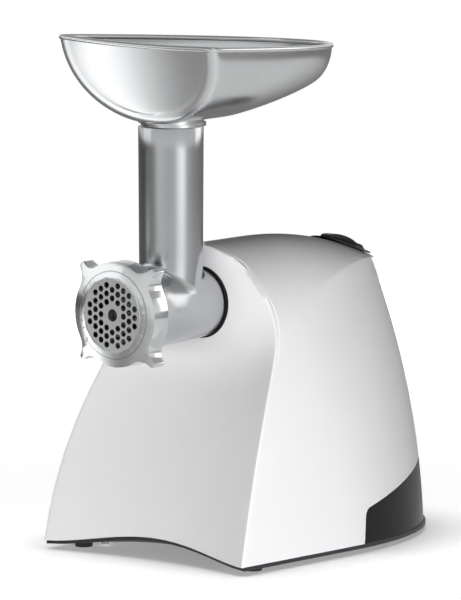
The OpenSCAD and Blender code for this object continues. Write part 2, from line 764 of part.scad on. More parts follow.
// The pin stops short of the plate's front face
pin_back = 2.8;
module auger() color([0.78, 0.78, 0.8]) placed() {
    along(auger_front) linear_extrude(auger_rear - auger_front, twist = -360 * flight_turns,
        slices = 48, $fn = 24) flight_section();
    along(knife_y) translate([-square_w / 2, -square_w / 2, 0])
        cube([square_w, square_w, auger_front - knife_y]);
    along(plate_y + pin_back) disc(centre_r - run, knife_y - plate_y - pin_back);
    along(auger_rear) disc(journal_r, journal_end - auger_rear);
    along(journal_end) cylinder(r = hex_w / sqrt(3), h = tail_len, $fn = 6);
}
module thrust_washer() color([0.9, 0.9, 0.85]) placed()
    along(auger_rear + 0.05) ring(14, journal_r + run, washer_t - 0.1);

// ---------- Gears ----------

// Half the angle of a tooth at radius r, on the involute of base circle base
function roll(base, r) = let (a = acos(min(1, base / r))) tan(a) * 180 / PI - a;
function tooth_half(teeth, r, pitch_r, play) = let (base = pitch_r * cos(20))
    (90 - play) / teeth + roll(base, pitch_r) - roll(base, max(base, r));
function gear_points(teeth, size, play = 5.5) =
    let (pitch_r = teeth * size / 2, root = pitch_r - dedendum * size,
        tip = pitch_r + addendum * size, low = max(pitch_r * cos(20), root + 0.35 * size),
        radii = [root, low, pitch_r, tip])
    [for (i = [0:teeth - 1], k = [-4:3])
        let (r = radii[k < 0 ? k + 4 : 3 - k],
            a = 360 * i / teeth + (k < 0 ? -1 : 1) * tooth_half(teeth, r, pitch_r, play))
        r * [cos(a), sin(a)]];
// Teeth stand where the next gear above has its gaps: a tooth points up, or a gap points down
module gear(teeth, size, width, tooth_up = true) {
    rotate(tooth_up ? -90 : 90 + 180 / teeth)
        linear_extrude(width) polygon(gear_points(teeth, size));
}
// A wheel: its web is thinner than its rim, with round lightening holes
module wheel(teeth, size, width, hub, holes) {
    rim_r = teeth * size / 2 - 3 * size;
    difference() {
        gear(teeth, size, width, false);
        for (side = [-1, width - 2]) translate([0, 0, side]) ring(rim_r, hub, 3);
        for (i = [0:holes - 1]) rotate(i * 360 / holes + 15)
            translate([(rim_r + hub) / 2, 0, -1]) disc((rim_r - hub) / 2 - 1.5, width + 2);
    }
}
module output_gear() color([0.6, 0.6, 0.62]) placed() along(output_y) difference() {
    wheel(output_teeth, module_three, output_face, shaft_r + 4, 6);
    translate([0, 0, -1]) disc(shaft_r, output_face + 2);
}
module second_idler() color([0.93, 0.92, 0.86]) placed() difference() {
    union() {
        along(output_y - 0.5, second_z)
            gear(pinion_teeth, module_three, second_y - output_y + 2.5);
        along(second_y, second_z) wheel(second_teeth, module_two, second_face, pin_r + 4, 6);
    }
    along(case_front, second_z) disc(pin_r + run, cover_front - case_front);
}
module first_idler() color([0.93, 0.92, 0.86]) placed() difference() {
    union() {
        along(second_y - 0.5, first_z)
            gear(pinion_teeth, module_two, first_y - second_y + 2.5);
        along(first_y, first_z) wheel(first_teeth, module_one, first_face, pin_r + 4, 6);
    }
    along(case_front, first_z) disc(pin_r + run, cover_front - case_front);
}
module idler_pins() color("silver") placed() for (z = [second_z, first_z])
    along(case_y + 1, z) disc(pin_r, cover_back - case_y - 2);

module output_shaft() color([0.7, 0.7, 0.72]) placed() {
    difference() {
        along(coupler_y) disc(coupler_r, case_front - coupler_y + 0.5);
        along(coupler_y - 1) cylinder(r = (hex_w + 0.3) / sqrt(3), h = tail_len + 2, $fn = 6);
    }
    along(case_front + 0.5) disc(shaft_r, cover_back - case_front - 1.5);
}
bush_wall = 2.5;
module front_bush() color([0.72, 0.55, 0.3]) placed()
    along(case_y) ring(coupler_r + bush_wall, coupler_r + run, case_wall + 0.3);
module rear_bush() color([0.72, 0.55, 0.3]) placed()
    along(cover_front) ring(shaft_r + bush_wall, shaft_r + run, cover_back - cover_front - 1);

// ---------- Gearbox ----------

function wheel_r(teeth, size) = (teeth / 2 + addendum) * size;
gear_room = 2;
// The case's outline round all gears, seen from the front
module case_view(margin) {
    for (pair = [[[axis_z, wheel_r(output_teeth, module_three)], [second_z,
            wheel_r(second_teeth, module_two)]], [[second_z, wheel_r(second_teeth, module_two)],
            [first_z, wheel_r(first_teeth, module_one)]], [[first_z, wheel_r(first_teeth,
            module_one)], [motor_z, 14]]])
        hull() for (c = pair)
            translate([0, -c[0]]) circle(r = c[1] + gear_room + margin, $fn = 40);
}
case_screws = [[21, axis_z + 26], [32, first_z - 4]];
module case_ears() {
    sides() for (p = case_screws) translate([p.x, -p.y]) circle(r = 5, $fn = 20);
}
module gearbox_case() color([0.55, 0.56, 0.58]) placed() difference() {
    union() {
        along(case_y, 0) linear_extrude(cover_front - case_y) {
            case_view(case_wall);
            case_ears();
        }
        translate([-12, case_y + 20, 0]) cube([24, cover_front - case_y - 20, motor_z]);
    }
    along(case_front, 0) linear_extrude(cover_front) case_view(0);
    along(case_y - 1) disc(coupler_r + bush_wall, case_wall + 5);
    for (z = [second_z, first_z]) along(case_y + 1, z) disc(pin_r, case_wall + 5);
    sides() for (p = case_screws) along(case_y + 8, p.y, p.x) disc(1.6, 60);
}
module gearbox_cover() color([0.5, 0.51, 0.53]) placed() difference() {
    along(cover_front, 0) linear_extrude(cover_back - cover_front) {
        case_view(case_wall);
        case_ears();
        translate([-bolt_x, -motor_z - 8]) square([2 * bolt_x, 16]);
        for (x = [-bolt_x, bolt_x]) translate([x, -motor_z]) circle(r = 8);
    }
    along(cover_front - 1) disc(shaft_r + bush_wall, cover_back - cover_front);
    for (z = [second_z, first_z])
        along(cover_front - 1, z) disc(pin_r, cover_back - cover_front);
    along(cover_front - 1, motor_z) disc(bearing_r + 1, 20);
    sides() for (p = case_screws) along(cover_front - 1, p.y, p.x) disc(2, 20);
    for (x = [-bolt_x, bolt_x]) along(cover_front - 1, motor_z, x) disc(bolt_r, 20);
}
module gearbox_screws() color("silver") placed() sides() for (p = case_screws) {
    along(cover_front - 14, p.y, p.x) disc(1.55, cover_back - cover_front + 15);
    along(cover_back, p.y, p.x) disc(3.4, 2.4);
}

// ---------- Motor ----------

module motor_pinion() color([0.7, 0.7, 0.7]) placed() along(first_y - 0.5, motor_z)
    difference() {
        gear(pinion_teeth, module_one, first_face + 1);
        translate([0, 0, -1]) disc(motor_shaft_r, 20);
    }
module motor_shaft() color([0.75, 0.75, 0.75]) placed()
    along(first_y - 0.5, motor_z) disc(motor_shaft_r, rear_bracket_y + bearing_w - first_y);
slots = 12;
module armature_core() color([0.45, 0.45, 0.48]) placed() along(stack_y, motor_z) difference() {
    disc(armature_r, stack_len);
    translate([0, 0, -1]) disc(motor_shaft_r, stack_len + 2);
    for (i = [0:slots - 1]) rotate(i * 360 / slots)
        translate([armature_r - 2, 0, -1]) disc(2.6, stack_len + 2);
}
module armature_windings() color([0.72, 0.4, 0.2]) placed() {
    for (y = [stack_y - coil_out, stack_back])
        along(y, motor_z) rotate_extrude() translate([motor_shaft_r + 0.02, 0])
            polygon([[0, 0], [10, 0], [armature_r - motor_shaft_r - 2.4, 3], [armature_r
                - motor_shaft_r - 2.4, coil_out - 3], [10, coil_out], [0, coil_out]]);
    along(stack_y, motor_z) for (i = [0:slots - 1]) rotate(i * 360 / slots)
        translate([armature_r - 3, 0, 0]) disc(1.5, stack_len);
}
module commutator() color([0.75, 0.45, 0.25]) placed() along(stack_back + coil_out, motor_z)
    difference() {
        union() {
            disc(commutator_r - 2, commutator_y - stack_back - coil_out);
            translate([0, 0, commutator_y - stack_back - coil_out])
                disc(commutator_r, commutator_len);
        }
        translate([0, 0, -1]) disc(motor_shaft_r, 60);
        for (i = [0:slots - 1]) rotate(i * 360 / slots)
            translate([commutator_r - 1, -0.3, commutator_y - stack_back - coil_out + 1])
                cube([3, 0.6, 30]);
    }
module cooling_fan() color([0.2, 0.2, 0.2]) placed() along(fan_y, motor_z) {
    difference() {
        union() {
            disc(9, fan_w);
            disc(fan_r, 1.6);
        }
        translate([0, 0, -1]) disc(motor_shaft_r, 30);
    }
    for (i = [0:fan_blades - 1]) rotate(i * 360 / fan_blades)
        translate([8.5, -0.8, 1.5]) cube([fan_r - 9.5, 1.6, fan_w - 1.5]);
}
flat_w = field_r * 0.86;
module field_view() {
    difference() {
        intersection() {
            circle(r = field_r);
            square([2 * field_r, 2 * flat_w], center = true);
        }
        circle(r = armature_r + air_gap);
        for (half = [0, 180]) rotate(half) translate([-armature_r - 1, armature_r * 0.75])
            square([2 * armature_r + 2, 5.5]);
    }
}
module field_stack() color([0.5, 0.5, 0.53]) placed() along(stack_y, motor_z) difference() {
    linear_extrude(stack_len) field_view();
    for (x = [-bolt_x, bolt_x]) translate([x, 0, -1]) disc(bolt_r + 0.1, stack_len + 2);
}
module field_coils() color([0.75, 0.42, 0.2]) placed() for (y = [stack_y - coil_out, stack_back])
    along(y, motor_z) sector_ring(armature_r + 8, armature_r + 1.5, coil_out - 1.5, y < stack_y);
module sector_ring(outer, inner, h, front) {
    translate([0, 0, front ? 1.5 : 0]) for (half = [90, 270]) rotate(half - 62)
        rotate_extrude(angle = 124) translate([inner, 0]) square([outer - inner, h]);
}
module bracket_plate(t) {
    disc(15, t);
    for (turn = [0, 180]) rotate(turn) translate([0, -9, 0]) cube([bolt_x, 18, t]);
    for (x = [-bolt_x, bolt_x]) translate([x, 0, 0]) disc(9, t);
}
module front_bracket() color([0.6, 0.6, 0.62]) placed() difference() {
    union() {
        along(bracket_y, motor_z) bracket_plate(bracket_t);
        for (x = [-bolt_x, bolt_x])
            along(bracket_y, motor_z, x) disc(post_r, stack_y - bracket_y);
    }
    along(bracket_y - 1, motor_z) disc(bearing_r, 30);
    for (x = [-bolt_x, bolt_x]) along(bracket_y - 1, motor_z, x) disc(bolt_r + 0.1, 80);
}
module rear_bracket() color([0.6, 0.6, 0.62]) placed() difference() {
    union() {
        along(rear_bracket_y, motor_z) bracket_plate(bearing_w);
        for (x = [-bolt_x, bolt_x])
            along(stack_back, motor_z, x) disc(post_r, rear_bracket_y - stack_back + 1);
        translate([-12, rear_bracket_y, 0]) cube([24, bearing_w, motor_z - 12]);
    }
    along(rear_bracket_y - 1, motor_z) disc(bearing_r, 30);
    for (x = [-bolt_x, bolt_x]) along(stack_back - 1, motor_z, x) disc(bolt_r + 0.1, 80);
}
module motor_bearings() color([0.8, 0.8, 0.8]) placed() {
    for (y = [bracket_y, rear_bracket_y])
        along(y, motor_z) ring(bearing_r, motor_shaft_r + run, y == bracket_y ? bracket_t
            : bearing_w);
}
brush_w = 7;
module brush_holders() color([0.7, 0.6, 0.3]) placed() sides()
    translate([commutator_r + 0.15, commutator_y + 2, motor_z - brush_w / 2])
        cube([bolt_x - post_r - commutator_r - 0.15, 8, brush_w]);
module motor_bolts() color("silver") placed() for (x = [-bolt_x, bolt_x]) {
    along(cover_front + 0.5, motor_z, x) disc(bolt_r, rear_bracket_y + bearing_w - cover_front);
    along(rear_bracket_y + bearing_w, motor_z, x) disc(3.6, 2.8);
}

// Blocks on the floor beside the motor
block_x = armature_r + 5;
terminal_w = 16;
terminal_d = 30;
terminals = 3;
module terminal_block() color([0.9, 0.9, 0.88]) placed()
    translate([-block_x - terminal_w, rear_bracket_y - terminal_d - 4, 0]) difference() {
        cube([terminal_w, terminal_d, 14]);
        for (i = [0:terminals - 1])
            translate([terminal_w / 2, (i + 0.5) * terminal_d / terminals, 8]) disc(2, 10);
    }
capacitor_d = 26;
module capacitor() color([0.75, 0.7, 0.2]) placed()
    translate([block_x, rear_bracket_y - capacitor_d - 8, 0]) cube([12, capacitor_d, 18]);

// ---------- Hopper ----------

steps_long = 18;
steps_girth = 20;
// Keel: level under the neck, then rising ever more towards the stern
keel_flat = 60;
keel_rise = 17;
fullness = 0.9;
function keel_at(y, inset) = let (far = rim_front + rim_len,
    t = max(0, y - keel_flat) / (far - keel_flat)) keel_z + inset + keel_rise * pow(t, 1.3);
function rim_at(y) = hopper_z - rim_fall * (y - rim_front);
function bowl_point(a, f, inset) =
    let (y0 = lerp(rim_front + inset, rim_front + rim_len - inset, sin(a)),
        w = (rim_half_w - inset) * cos(a), low = keel_at(y0, inset), top = rim_at(y0),
        down = (top - low) * pow(cos(f), fullness + 0.25 * pow(sin(a), 2)))
    [w * sin(f), y0 + cheek_lean * (1 - sin(a)) * down / (rim_at(rim_front) - keel_z),
        top - down];
module bowl(inset, lift) {
    rows = [for (i = [0:steps_long]) [for (j = [0:steps_girth])
        let (a = 90 * (1 - pow(1 - i / steps_long, 1.25)), f = -90 + 180 * j / steps_girth,
            p = bowl_point(a, f, inset))
        [i == steps_long ? 0 : p.x, p.y, j == 0 || j == steps_girth ? p.z + lift : p.z]]];
    across = steps_girth + 1;
    last = len(rows) * across;
    cheek = [for (j = [0:steps_girth / 2 - 1]) let (b = steps_girth - j)
        each [[j, b, b - 1], [j, b - 1, j + 1]]];
    deck = [for (i = [0:steps_long - 1]) let (a = i * across, b = a + steps_girth,
        c = a + across, d = b + across) each [[a, d, b], [a, c, d]]];
    polyhedron(flat(rows), concat(grid_faces(len(rows), across, 0, false), cheek, deck),
        convexity = 6);
}
module rim_bead() {
    // From the stern along the left side to the front, and back along the right side
    spots = [for (side = [-1, 1], i = [0:steps_long])
        bowl_point(90 * (side < 0 ? steps_long - i : i) / steps_long, 90 * side, sheet / 2)];
    for (i = [0:len(spots) - 2]) hull() for (k = [i, i + 1])
        translate(spots[k]) sphere(r = bead_r, $fn = 6);
}
module hopper_tray() color([0.78, 0.78, 0.8]) placed() difference() {
    union() {
        difference() {
            bowl(0, 0);
            bowl(sheet, 4);
        }
        rim_bead();
        translate([0, tube_y, keel_z]) cylinder(r = tube_top_r, h = 3.5);
    }
    translate([0, tube_y, keel_z - 2]) disc(neck_bore_r + 0.2, 40);
}
module hopper_neck() color([0.76, 0.76, 0.78]) placed() translate([0, tube_y, 0])
    rotate_extrude() polygon([[neck_bore_r, tube_top - spigot_len], [tube_bore_r - 0.15,
        tube_top - spigot_len], [tube_bore_r - 0.15, tube_top], [tube_top_r, tube_top],
        [tube_top_r, keel_z], [neck_bore_r, keel_z]]);

housing();
base_plate();
rear_cover();
foot(-foot_x, foot_front_y);  // foot_front_left
foot(foot_x, foot_front_y);  // foot_front_right
foot(-foot_rear_x, foot_rear_y);  // foot_rear_left
foot(foot_rear_x, foot_rear_y);  // foot_rear_right
base_screws();
cord_gland();
switch_bezel();
switch_knob();
switch_body();
drive_socket();
socket_seal();
grinder_head();
ring_nut();
perforated_plate();
knife();
auger();
thrust_washer();
output_shaft();
output_gear();
second_idler();
first_idler();
idler_pins();
gearbox_case();
gearbox_cover();
gearbox_screws();
front_bush();
rear_bush();
motor_pinion();
motor_shaft();
armature_core();
armature_windings();
commutator();
cooling_fan();
field_stack();
field_coils();
front_bracket();
rear_bracket();
motor_bearings();
brush_holders();
motor_bolts();
terminal_block();
capacitor();
hopper_tray();
hopper_neck();
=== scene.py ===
# %% [markdown]
# # An electric meat grinder
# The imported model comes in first. It gives every piece its place and the body that it moves with,
# and a piece that is made anew here has the sizes of the one it stands for. All lengths below are
# in millimetres on the real machine, and one helper turns them into Blender's metres.

# %% The frame
import json
import math
import bmesh
import bpy
from mathutils import Matrix, Vector


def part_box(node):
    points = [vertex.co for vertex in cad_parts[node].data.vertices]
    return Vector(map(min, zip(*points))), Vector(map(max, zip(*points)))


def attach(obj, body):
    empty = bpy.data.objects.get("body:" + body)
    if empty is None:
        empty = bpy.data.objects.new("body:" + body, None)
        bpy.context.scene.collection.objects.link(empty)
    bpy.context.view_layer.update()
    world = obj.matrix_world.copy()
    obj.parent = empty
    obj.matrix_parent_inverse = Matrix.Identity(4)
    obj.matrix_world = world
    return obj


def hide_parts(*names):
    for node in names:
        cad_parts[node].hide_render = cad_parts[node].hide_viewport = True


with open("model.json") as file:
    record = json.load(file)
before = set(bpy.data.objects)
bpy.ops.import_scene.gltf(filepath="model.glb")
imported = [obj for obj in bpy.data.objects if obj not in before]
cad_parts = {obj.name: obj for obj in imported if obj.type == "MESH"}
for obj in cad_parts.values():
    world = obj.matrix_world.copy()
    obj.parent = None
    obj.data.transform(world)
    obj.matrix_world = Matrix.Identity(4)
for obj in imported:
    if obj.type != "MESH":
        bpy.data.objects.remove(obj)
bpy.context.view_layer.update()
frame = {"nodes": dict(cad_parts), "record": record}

MM = 0.001
HOUSING_DEPTH = 272
low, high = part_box("housing")
STAND = low.z / MM
MIDDLE = HOUSING_DEPTH - high.y / MM


def at(x, y, z):
    """A place on the machine: y from the housing's front edge, z from its bottom edge."""
    return Vector((x, y - MIDDLE, z + STAND)) * MM


print("stands", round(STAND, 2), "mm high, middle", round(MIDDLE, 2), "mm deep")

# %% [markdown]
# ## Camera
# A product is usually shown through a long lens from far away, which keeps its upright lines
# upright. The camera is placed by its angle round the machine and its angle above the table, and
# it looks at one point near the middle of the machine.

# %% Camera
AZIMUTH = math.radians(40.5)
ELEVATION = math.radians(7.7)
DISTANCE = 5.6
looks_at = Vector((0, -0.0275, 0.1744))
away = Vector((math.sin(AZIMUTH) * math.cos(ELEVATION),
               -math.cos(AZIMUTH) * math.cos(ELEVATION), math.sin(ELEVATION)))
camera = bpy.data.objects.new("camera", bpy.data.cameras.new("camera"))
bpy.context.scene.collection.objects.link(camera)
camera.data.sensor_fit = "VERTICAL"
camera.data.sensor_height = 36
camera.data.lens = 480
camera.data.clip_end = 50
camera.location = looks_at + away * DISTANCE
camera.rotation_euler = (-away).to_track_quat("-Z", "Y").to_euler()
bpy.context.scene.camera = camera
bpy.context.scene.view_settings.view_transform = "Standard"
print("camera at", [round(c, 3) for c in camera.location])

# %% [markdown]
# ## Writing a finish as a sum
# A finish is a net of nodes, which soon gets long. Two small classes keep it readable. `Value`
# wraps one socket and lets it be added to, taken from and multiplied as a number is. `Finish`
# holds one material, and its `node` method makes any node from its type, its settings and what
# goes into its sockets.

# %% Value and Finish


class Value:
    """A socket of a finish that can stand in a sum."""

    def __init__(self, finish, socket):
        self.finish = finish
        self.socket = socket

    def math(self, operation, first, second):
        return self.finish.node("ShaderNodeMath", {"operation": operation}, {0: first, 1: second})

    def __add__(self, other):
        return self.math("ADD", self, other)

    def __sub__(self, other):
        return self.math("SUBTRACT", self, other)

    def __mul__(self, other):
        return self.math("MULTIPLY", self, other)


def set_stops(ramp, stops):
    """Gives a colour ramp its stops, each a place from 0 to 1 and a grey."""
    while len(ramp.elements) < len(stops):
        ramp.elements.new(0.5)
    for element, (place, grey) in zip(ramp.elements, stops):
        element.position = place
        element.color = (grey, grey, grey, 1)


class Finish:
    """One material, built node by node."""

    def __init__(self, name):
        self.material = bpy.data.materials.new(name)
        self.material.use_nodes = True
        self.tree = self.material.node_tree
        self.tree.nodes.clear()

    def node(self, kind, settings=None, sockets=None, out=0):
        made = self.tree.nodes.new(kind)
        for key, value in (settings or {}).items():
            if key == "stops":
                set_stops(made.color_ramp, value)
            else:
                setattr(made, key, value)
        for key, value in (sockets or {}).items():
            if isinstance(value, Value):
                self.tree.links.new(value.socket, made.inputs[key])
            else:
                made.inputs[key].default_value = value
        return Value(self, made.outputs[out])

    def place(self, scale=(1, 1, 1)):
        """Object coordinates in millimetres, stretched by a scale."""
        spot = self.node("ShaderNodeTexCoord", out="Object")
        return self.node("ShaderNodeMapping", {}, {"Vector": spot,
                                                   "Scale": [s / MM for s in scale]})

    def noise(self, where, size, detail=2.0):
        """Cloudy variation from 0 to 1, with clouds of about this size in millimetres."""
        return self.node("ShaderNodeTexNoise", {}, {"Vector": where, "Scale": 1 / size,
                                                    "Detail": detail}, out="Fac")

    def mixed(self, amount, first, second):
        """A colour between two colours."""
        return self.node("ShaderNodeMix", {"data_type": "RGBA"},
                         {"Factor": amount, "A": (*first, 1), "B": (*second, 1)}, out="Result")

    def finish(self, sockets, height, relief):
        """Sets the shader's sockets; height makes the surface rise and fall, relief is in mm."""
        sockets["Normal"] = self.node("ShaderNodeBump", {}, {
            "Height": height, "Distance": relief * MM, "Strength": 1.0})
        shader = self.node("ShaderNodeBsdfPrincipled", {}, sockets)
        self.node_output(shader)
        return self.material

    def node_output(self, shader):
        out = self.tree.nodes.new("ShaderNodeOutputMaterial")
        self.tree.links.new(shader.socket, out.inputs["Surface"])


# %% [markdown]
# ## Table and light
# The machine stands on a wide pale table under a dim sky. Low, wide lamps stand round it: the
# front and the sides get their light, and the dome turns grey towards its ridge, because little
# comes from above. To the camera, the table glows white with a painted shadow, greyer near the
# machine and darker where it stands close over it, and the air past the table is white.
# Polished metal has a studio of its own, which only mirrored rays see. Its table has rings of
# bright and dark, and cards stand round it.

# %% Table
TABLE_RADIUS = 14
BRIGHTEST = 1.7
WHITE = (1, 1, 1, 1)


def link(name, bm):
    """Makes an object at the origin from a bmesh."""
    mesh = bpy.data.meshes.new(name)
    bm.to_mesh(mesh)
    bm.free()
    made = bpy.data.objects.new(name, mesh)
    bpy.context.scene.collection.objects.link(made)
    return made


bm = bmesh.new()
bmesh.ops.create_circle(bm, cap_ends=True, segments=96, radius=TABLE_RADIUS)
table = link("table", bm)
paper_finish = Finish("studio_paper")
spot = paper_finish.node("ShaderNodeNewGeometry", out="Position")


def towards(angle):
    """How far a spot lies from the middle, in metres, towards an angle from the camera's side."""
    turn = AZIMUTH + math.radians(angle)
    return paper_finish.node("ShaderNodeVectorMath", {"operation": "DOT_PRODUCT"}, {
        0: spot, 1: (math.sin(turn), -math.cos(turn), 0)}, out="Value")


def ramp_of(amount, *stops):
    """A grey that follows an amount, from stops of amount and grey."""
    return paper_finish.node("ShaderNodeValToRGB", {"stops": stops}, {"Fac": amount},
                             out="Color")


far = paper_finish.node("ShaderNodeVectorMath", {"operation": "LENGTH"}, {0: spot}, out="Value")
sideways = towards(90)
around = sideways.math("ARCTAN2", sideways, towards(0)) * (0.5 / math.pi) + 0.5


def by_angle(*stops):
    """A brightness round the table, from stops of degrees from the camera's side and grey."""
    places = [(angle / 360 + 0.5, grey / BRIGHTEST) for angle, grey in stops]
    return ramp_of(around, *places) * BRIGHTEST


# What polished metal shows of the table: a near ring for the bowl, a far one for the feed tube
near_ring = by_angle((-180, 0.2), (-98, 0.2), (-94, 1.7), (-87, 1.5), (-80, 0.85), (-72, 0.35),
                     (-66, 0.25), (-50, 0.45), (-35, 0.6), (38, 0.8), (100, 0.62), (130, 0.62),
                     (151, 0.4), (168, 0.2), (180, 0.2))
far_ring = by_angle((-180, 0.2), (-106, 0.06), (-79, 0.16), (-59, 0.38), (-47, 0.78), (-28, 0.7),
                    (-5, 0.56), (12, 0.65), (30, 1.6), (42, 1.65), (58, 0.55), (79, 0.34),
                    (103, 0.26), (140, 0.2), (180, 0.2))
# The far ring takes over between 1.28 and 1.64 m from the middle
outer = ramp_of(far * 0.5, (0.64, 0.0), (0.82, 1.0))
camera_ray = paper_finish.node("ShaderNodeLightPath", out="Is Camera Ray")
glossy_ray = paper_finish.node("ShaderNodeLightPath", out="Is Glossy Ray")
# What the camera sees: glowing white paper with a painted shadow, greyer near the machine
# and darker where the machine stands close over it
occlusion_for_painted_shadow = paper_finish.node("ShaderNodeAmbientOcclusion", {"samples": 16}, {"Distance": 0.07},
                             out="AO")
# Painted shadow: the occlusion under the machine darkens the paper's glow
painted_soft_shadow = ramp_of(occlusion_for_painted_shadow, (0.35, 0.3), (0.95, 1.0))
seen = paper_finish.node("ShaderNodeEmission", {}, {
    "Color": WHITE,
    "Strength": camera_ray * painted_soft_shadow * ramp_of(far * 0.25, (0.08, 0.85), (0.3, 1.0))})
matt = paper_finish.node("ShaderNodeBsdfDiffuse", {}, {"Color": (0.8, 0.8, 0.8, 1)})
paper = paper_finish.node("ShaderNodeAddShader", {}, {0: matt, 1: seen})
mirrored = paper_finish.node("ShaderNodeEmission", {}, {
    "Color": WHITE, "Strength": near_ring + outer * (far_ring - near_ring)})
paper_finish.node_output(paper_finish.node("ShaderNodeMixShader", {}, {
    0: glossy_ray, 1: paper, 2: mirrored}))
table.data.materials.append(paper_finish.material)

# %% Light
LAMP_SIZE, LAMP_UP, LAMP_AWAY = (0.6, 0.2), 0.12, 1.4


def lamp(name, where, power):
    """A wide lamp that faces the machine; polished metal shows the cards in its place."""
    made = bpy.data.objects.new(name, bpy.data.lights.new(name, "AREA"))
    bpy.context.scene.collection.objects.link(made)
    made.data.shape = "RECTANGLE"
    made.data.size, made.data.size_y = LAMP_SIZE
    made.data.energy = power
    made.visible_glossy = False
    made.visible_camera = False
    made.location = where
    made.rotation_euler = (looks_at - Vector(where)).to_track_quat("-Z", "Y").to_euler()


def round_about(angle, up, distance):
    """A place round the machine, by its angle from the camera's side and its height."""
    turn = AZIMUTH + math.radians(angle)
    return (math.sin(turn) * distance, -math.cos(turn) * distance, up)


for name, angle, power in (
        ("left_lamp", -30, 4.9), ("middle_lamp", 0, 6.4), ("key_lamp", 30, 12),
        ("far_left_lamp", -132, 7), ("rear_lamp", 165, 7)):
    lamp(name, round_about(angle, LAMP_UP, LAMP_AWAY), power)

# %% Sky
world = bpy.data.worlds.new("studio_air")
bpy.context.scene.world = world
world.use_nodes = True
air = world.node_tree
air.nodes.clear()
direction = air.nodes.new("ShaderNodeTexCoord")
split = air.nodes.new("ShaderNodeSeparateXYZ")
path = air.nodes.new("ShaderNodeLightPath")
air.links.new(direction.outputs["Generated"], split.inputs[0])


def sky(*stops):
    """A grey by height, from 0 at the horizon to 1 overhead."""
    ramp = air.nodes.new("ShaderNodeValToRGB")
    set_stops(ramp.color_ramp, stops)
    air.links.new(split.outputs["Z"], ramp.inputs["Fac"])
    return ramp.outputs["Color"]


def chosen(ray, first, second):
    """The second colour for one kind of ray, and the first for all others."""
    choice = air.nodes.new("ShaderNodeMix")
    choice.data_type = "RGBA"
    air.links.new(path.outputs[ray], choice.inputs["Factor"])
    for socket, colour in (("A", first), ("B", second)):
        air.links.new(colour, choice.inputs[socket])
    return choice.outputs["Result"]


lighting = sky((0, 0.02), (0.25, 0.01))
mirrored_sky = sky((0, 0.8), (0.3, 0.65), (0.45, 0.4), (0.65, 0.35), (0.85, 0.2), (1, 0.35))
white_sky = sky((0, 1), (1, 1))
back = air.nodes.new("ShaderNodeBackground")
out = air.nodes.new("ShaderNodeOutputWorld")
colour = chosen("Is Camera Ray", chosen("Is Glossy Ray", lighting, mirrored_sky), white_sky)
air.links.new(colour, back.inputs["Color"])
air.links.new(back.outputs[0], out.inputs[0])

# %% Cards
CARD_FOOT = 0.28


def card(name, angle, distance, size, bright, foot=CARD_FOOT):
    """An upright bright card round the machine, which only polished metal shows."""
    bm = bmesh.new()
    bmesh.ops.create_grid(bm, x_segments=1, y_segments=1, size=0.5)
    bmesh.ops.scale(bm, verts=bm.verts, vec=(size[0], size[1], 1))
    where = Vector(round_about(angle, size[1] / 2 + foot, distance))
    turn = Vector((-where.x, -where.y, 0)).to_track_quat("Z", "Y").to_matrix().to_4x4()
    bmesh.ops.transform(bm, matrix=Matrix.Translation(where) @ turn, verts=bm.verts)
    made = link(name, bm)
    cloth = Finish(name + "_cloth")
    glow = cloth.node("ShaderNodeEmission", {}, {"Color": WHITE, "Strength": bright})
    clear = cloth.node("ShaderNodeBsdfTransparent", {}, {"Color": WHITE})
    ray = cloth.node("ShaderNodeLightPath", out="Is Glossy Ray")
    cloth.node_output(cloth.node("ShaderNodeMixShader", {}, {0: ray, 1: clear, 2: glow}))
    made.data.materials.append(cloth.material)


card("left_card", -90, 1.6, (1.0, 0.5), 1.2)
card("right_card", 112, 1.6, (1.0, 0.6), 1.8)
card("top_card", 35, 0.9, (0.7, 1.0), 1.2, foot=1.2)

# %% [markdown]
# ## Finishes
# Each finish gets what the real material shows at its own scale: the faint waves of a moulded
# wall, the grain of a casting, the fine lines of a ground plate. Only colour, roughness and the
# surface's own relief change over a piece. Everything else is one number on the shader.

# %% Plastic and rubber
PATCH, MOULD_WAVE, WORN = 35, 1.2, 0.05


def moulded(name, colour, roughness, wave=0.02, gloss=0.5):
    """Moulded plastic: faint waves, and patches that hands have made a little duller."""
    finish = Finish(name)
    where = finish.place()
    patches = finish.noise(where, PATCH)
    tone = [c * 0.97 for c in colour]
    return finish.finish({
        "Base Color": finish.mixed(patches, tone, colour),
        "Roughness": patches * WORN + (roughness - WORN / 2),
        "IOR": 1.5, "Specular IOR Level": gloss}, finish.noise(where, MOULD_WAVE), wave)


housing_white = moulded("housing_white", (0.87, 0.87, 0.88), 0.4, 0.004, gloss=0.01)
base_grey = moulded("base_grey", (0.03, 0.03, 0.033), 0.4, 0.02, gloss=0.3)
cover_dark = moulded("cover_dark", (0.008, 0.008, 0.009), 0.25, 0.004, gloss=0.15)
switch_black = moulded("switch_black", (0.006, 0.006, 0.007), 0.25, 0.01, gloss=0.25)
inner_plastic = moulded("inner_plastic", (0.8, 0.79, 0.74), 0.45, 0.03)
socket_black = moulded("socket_black", (0.012, 0.012, 0.012), 0.4, 0.02)
gear_plastic = moulded("gear_plastic", (0.84, 0.82, 0.74), 0.42, 0.02)
nylon = moulded("nylon", (0.83, 0.83, 0.78), 0.5, 0.02)
fan_black = moulded("fan_black", (0.02, 0.02, 0.02), 0.45, 0.03)
capacitor_yellow = moulded("capacitor_yellow", (0.7, 0.55, 0.08), 0.4, 0.02)
rubber = moulded("rubber", (0.015, 0.015, 0.015), 0.75, 0.05)

# %% Metal
WEAR_PATCH = 28


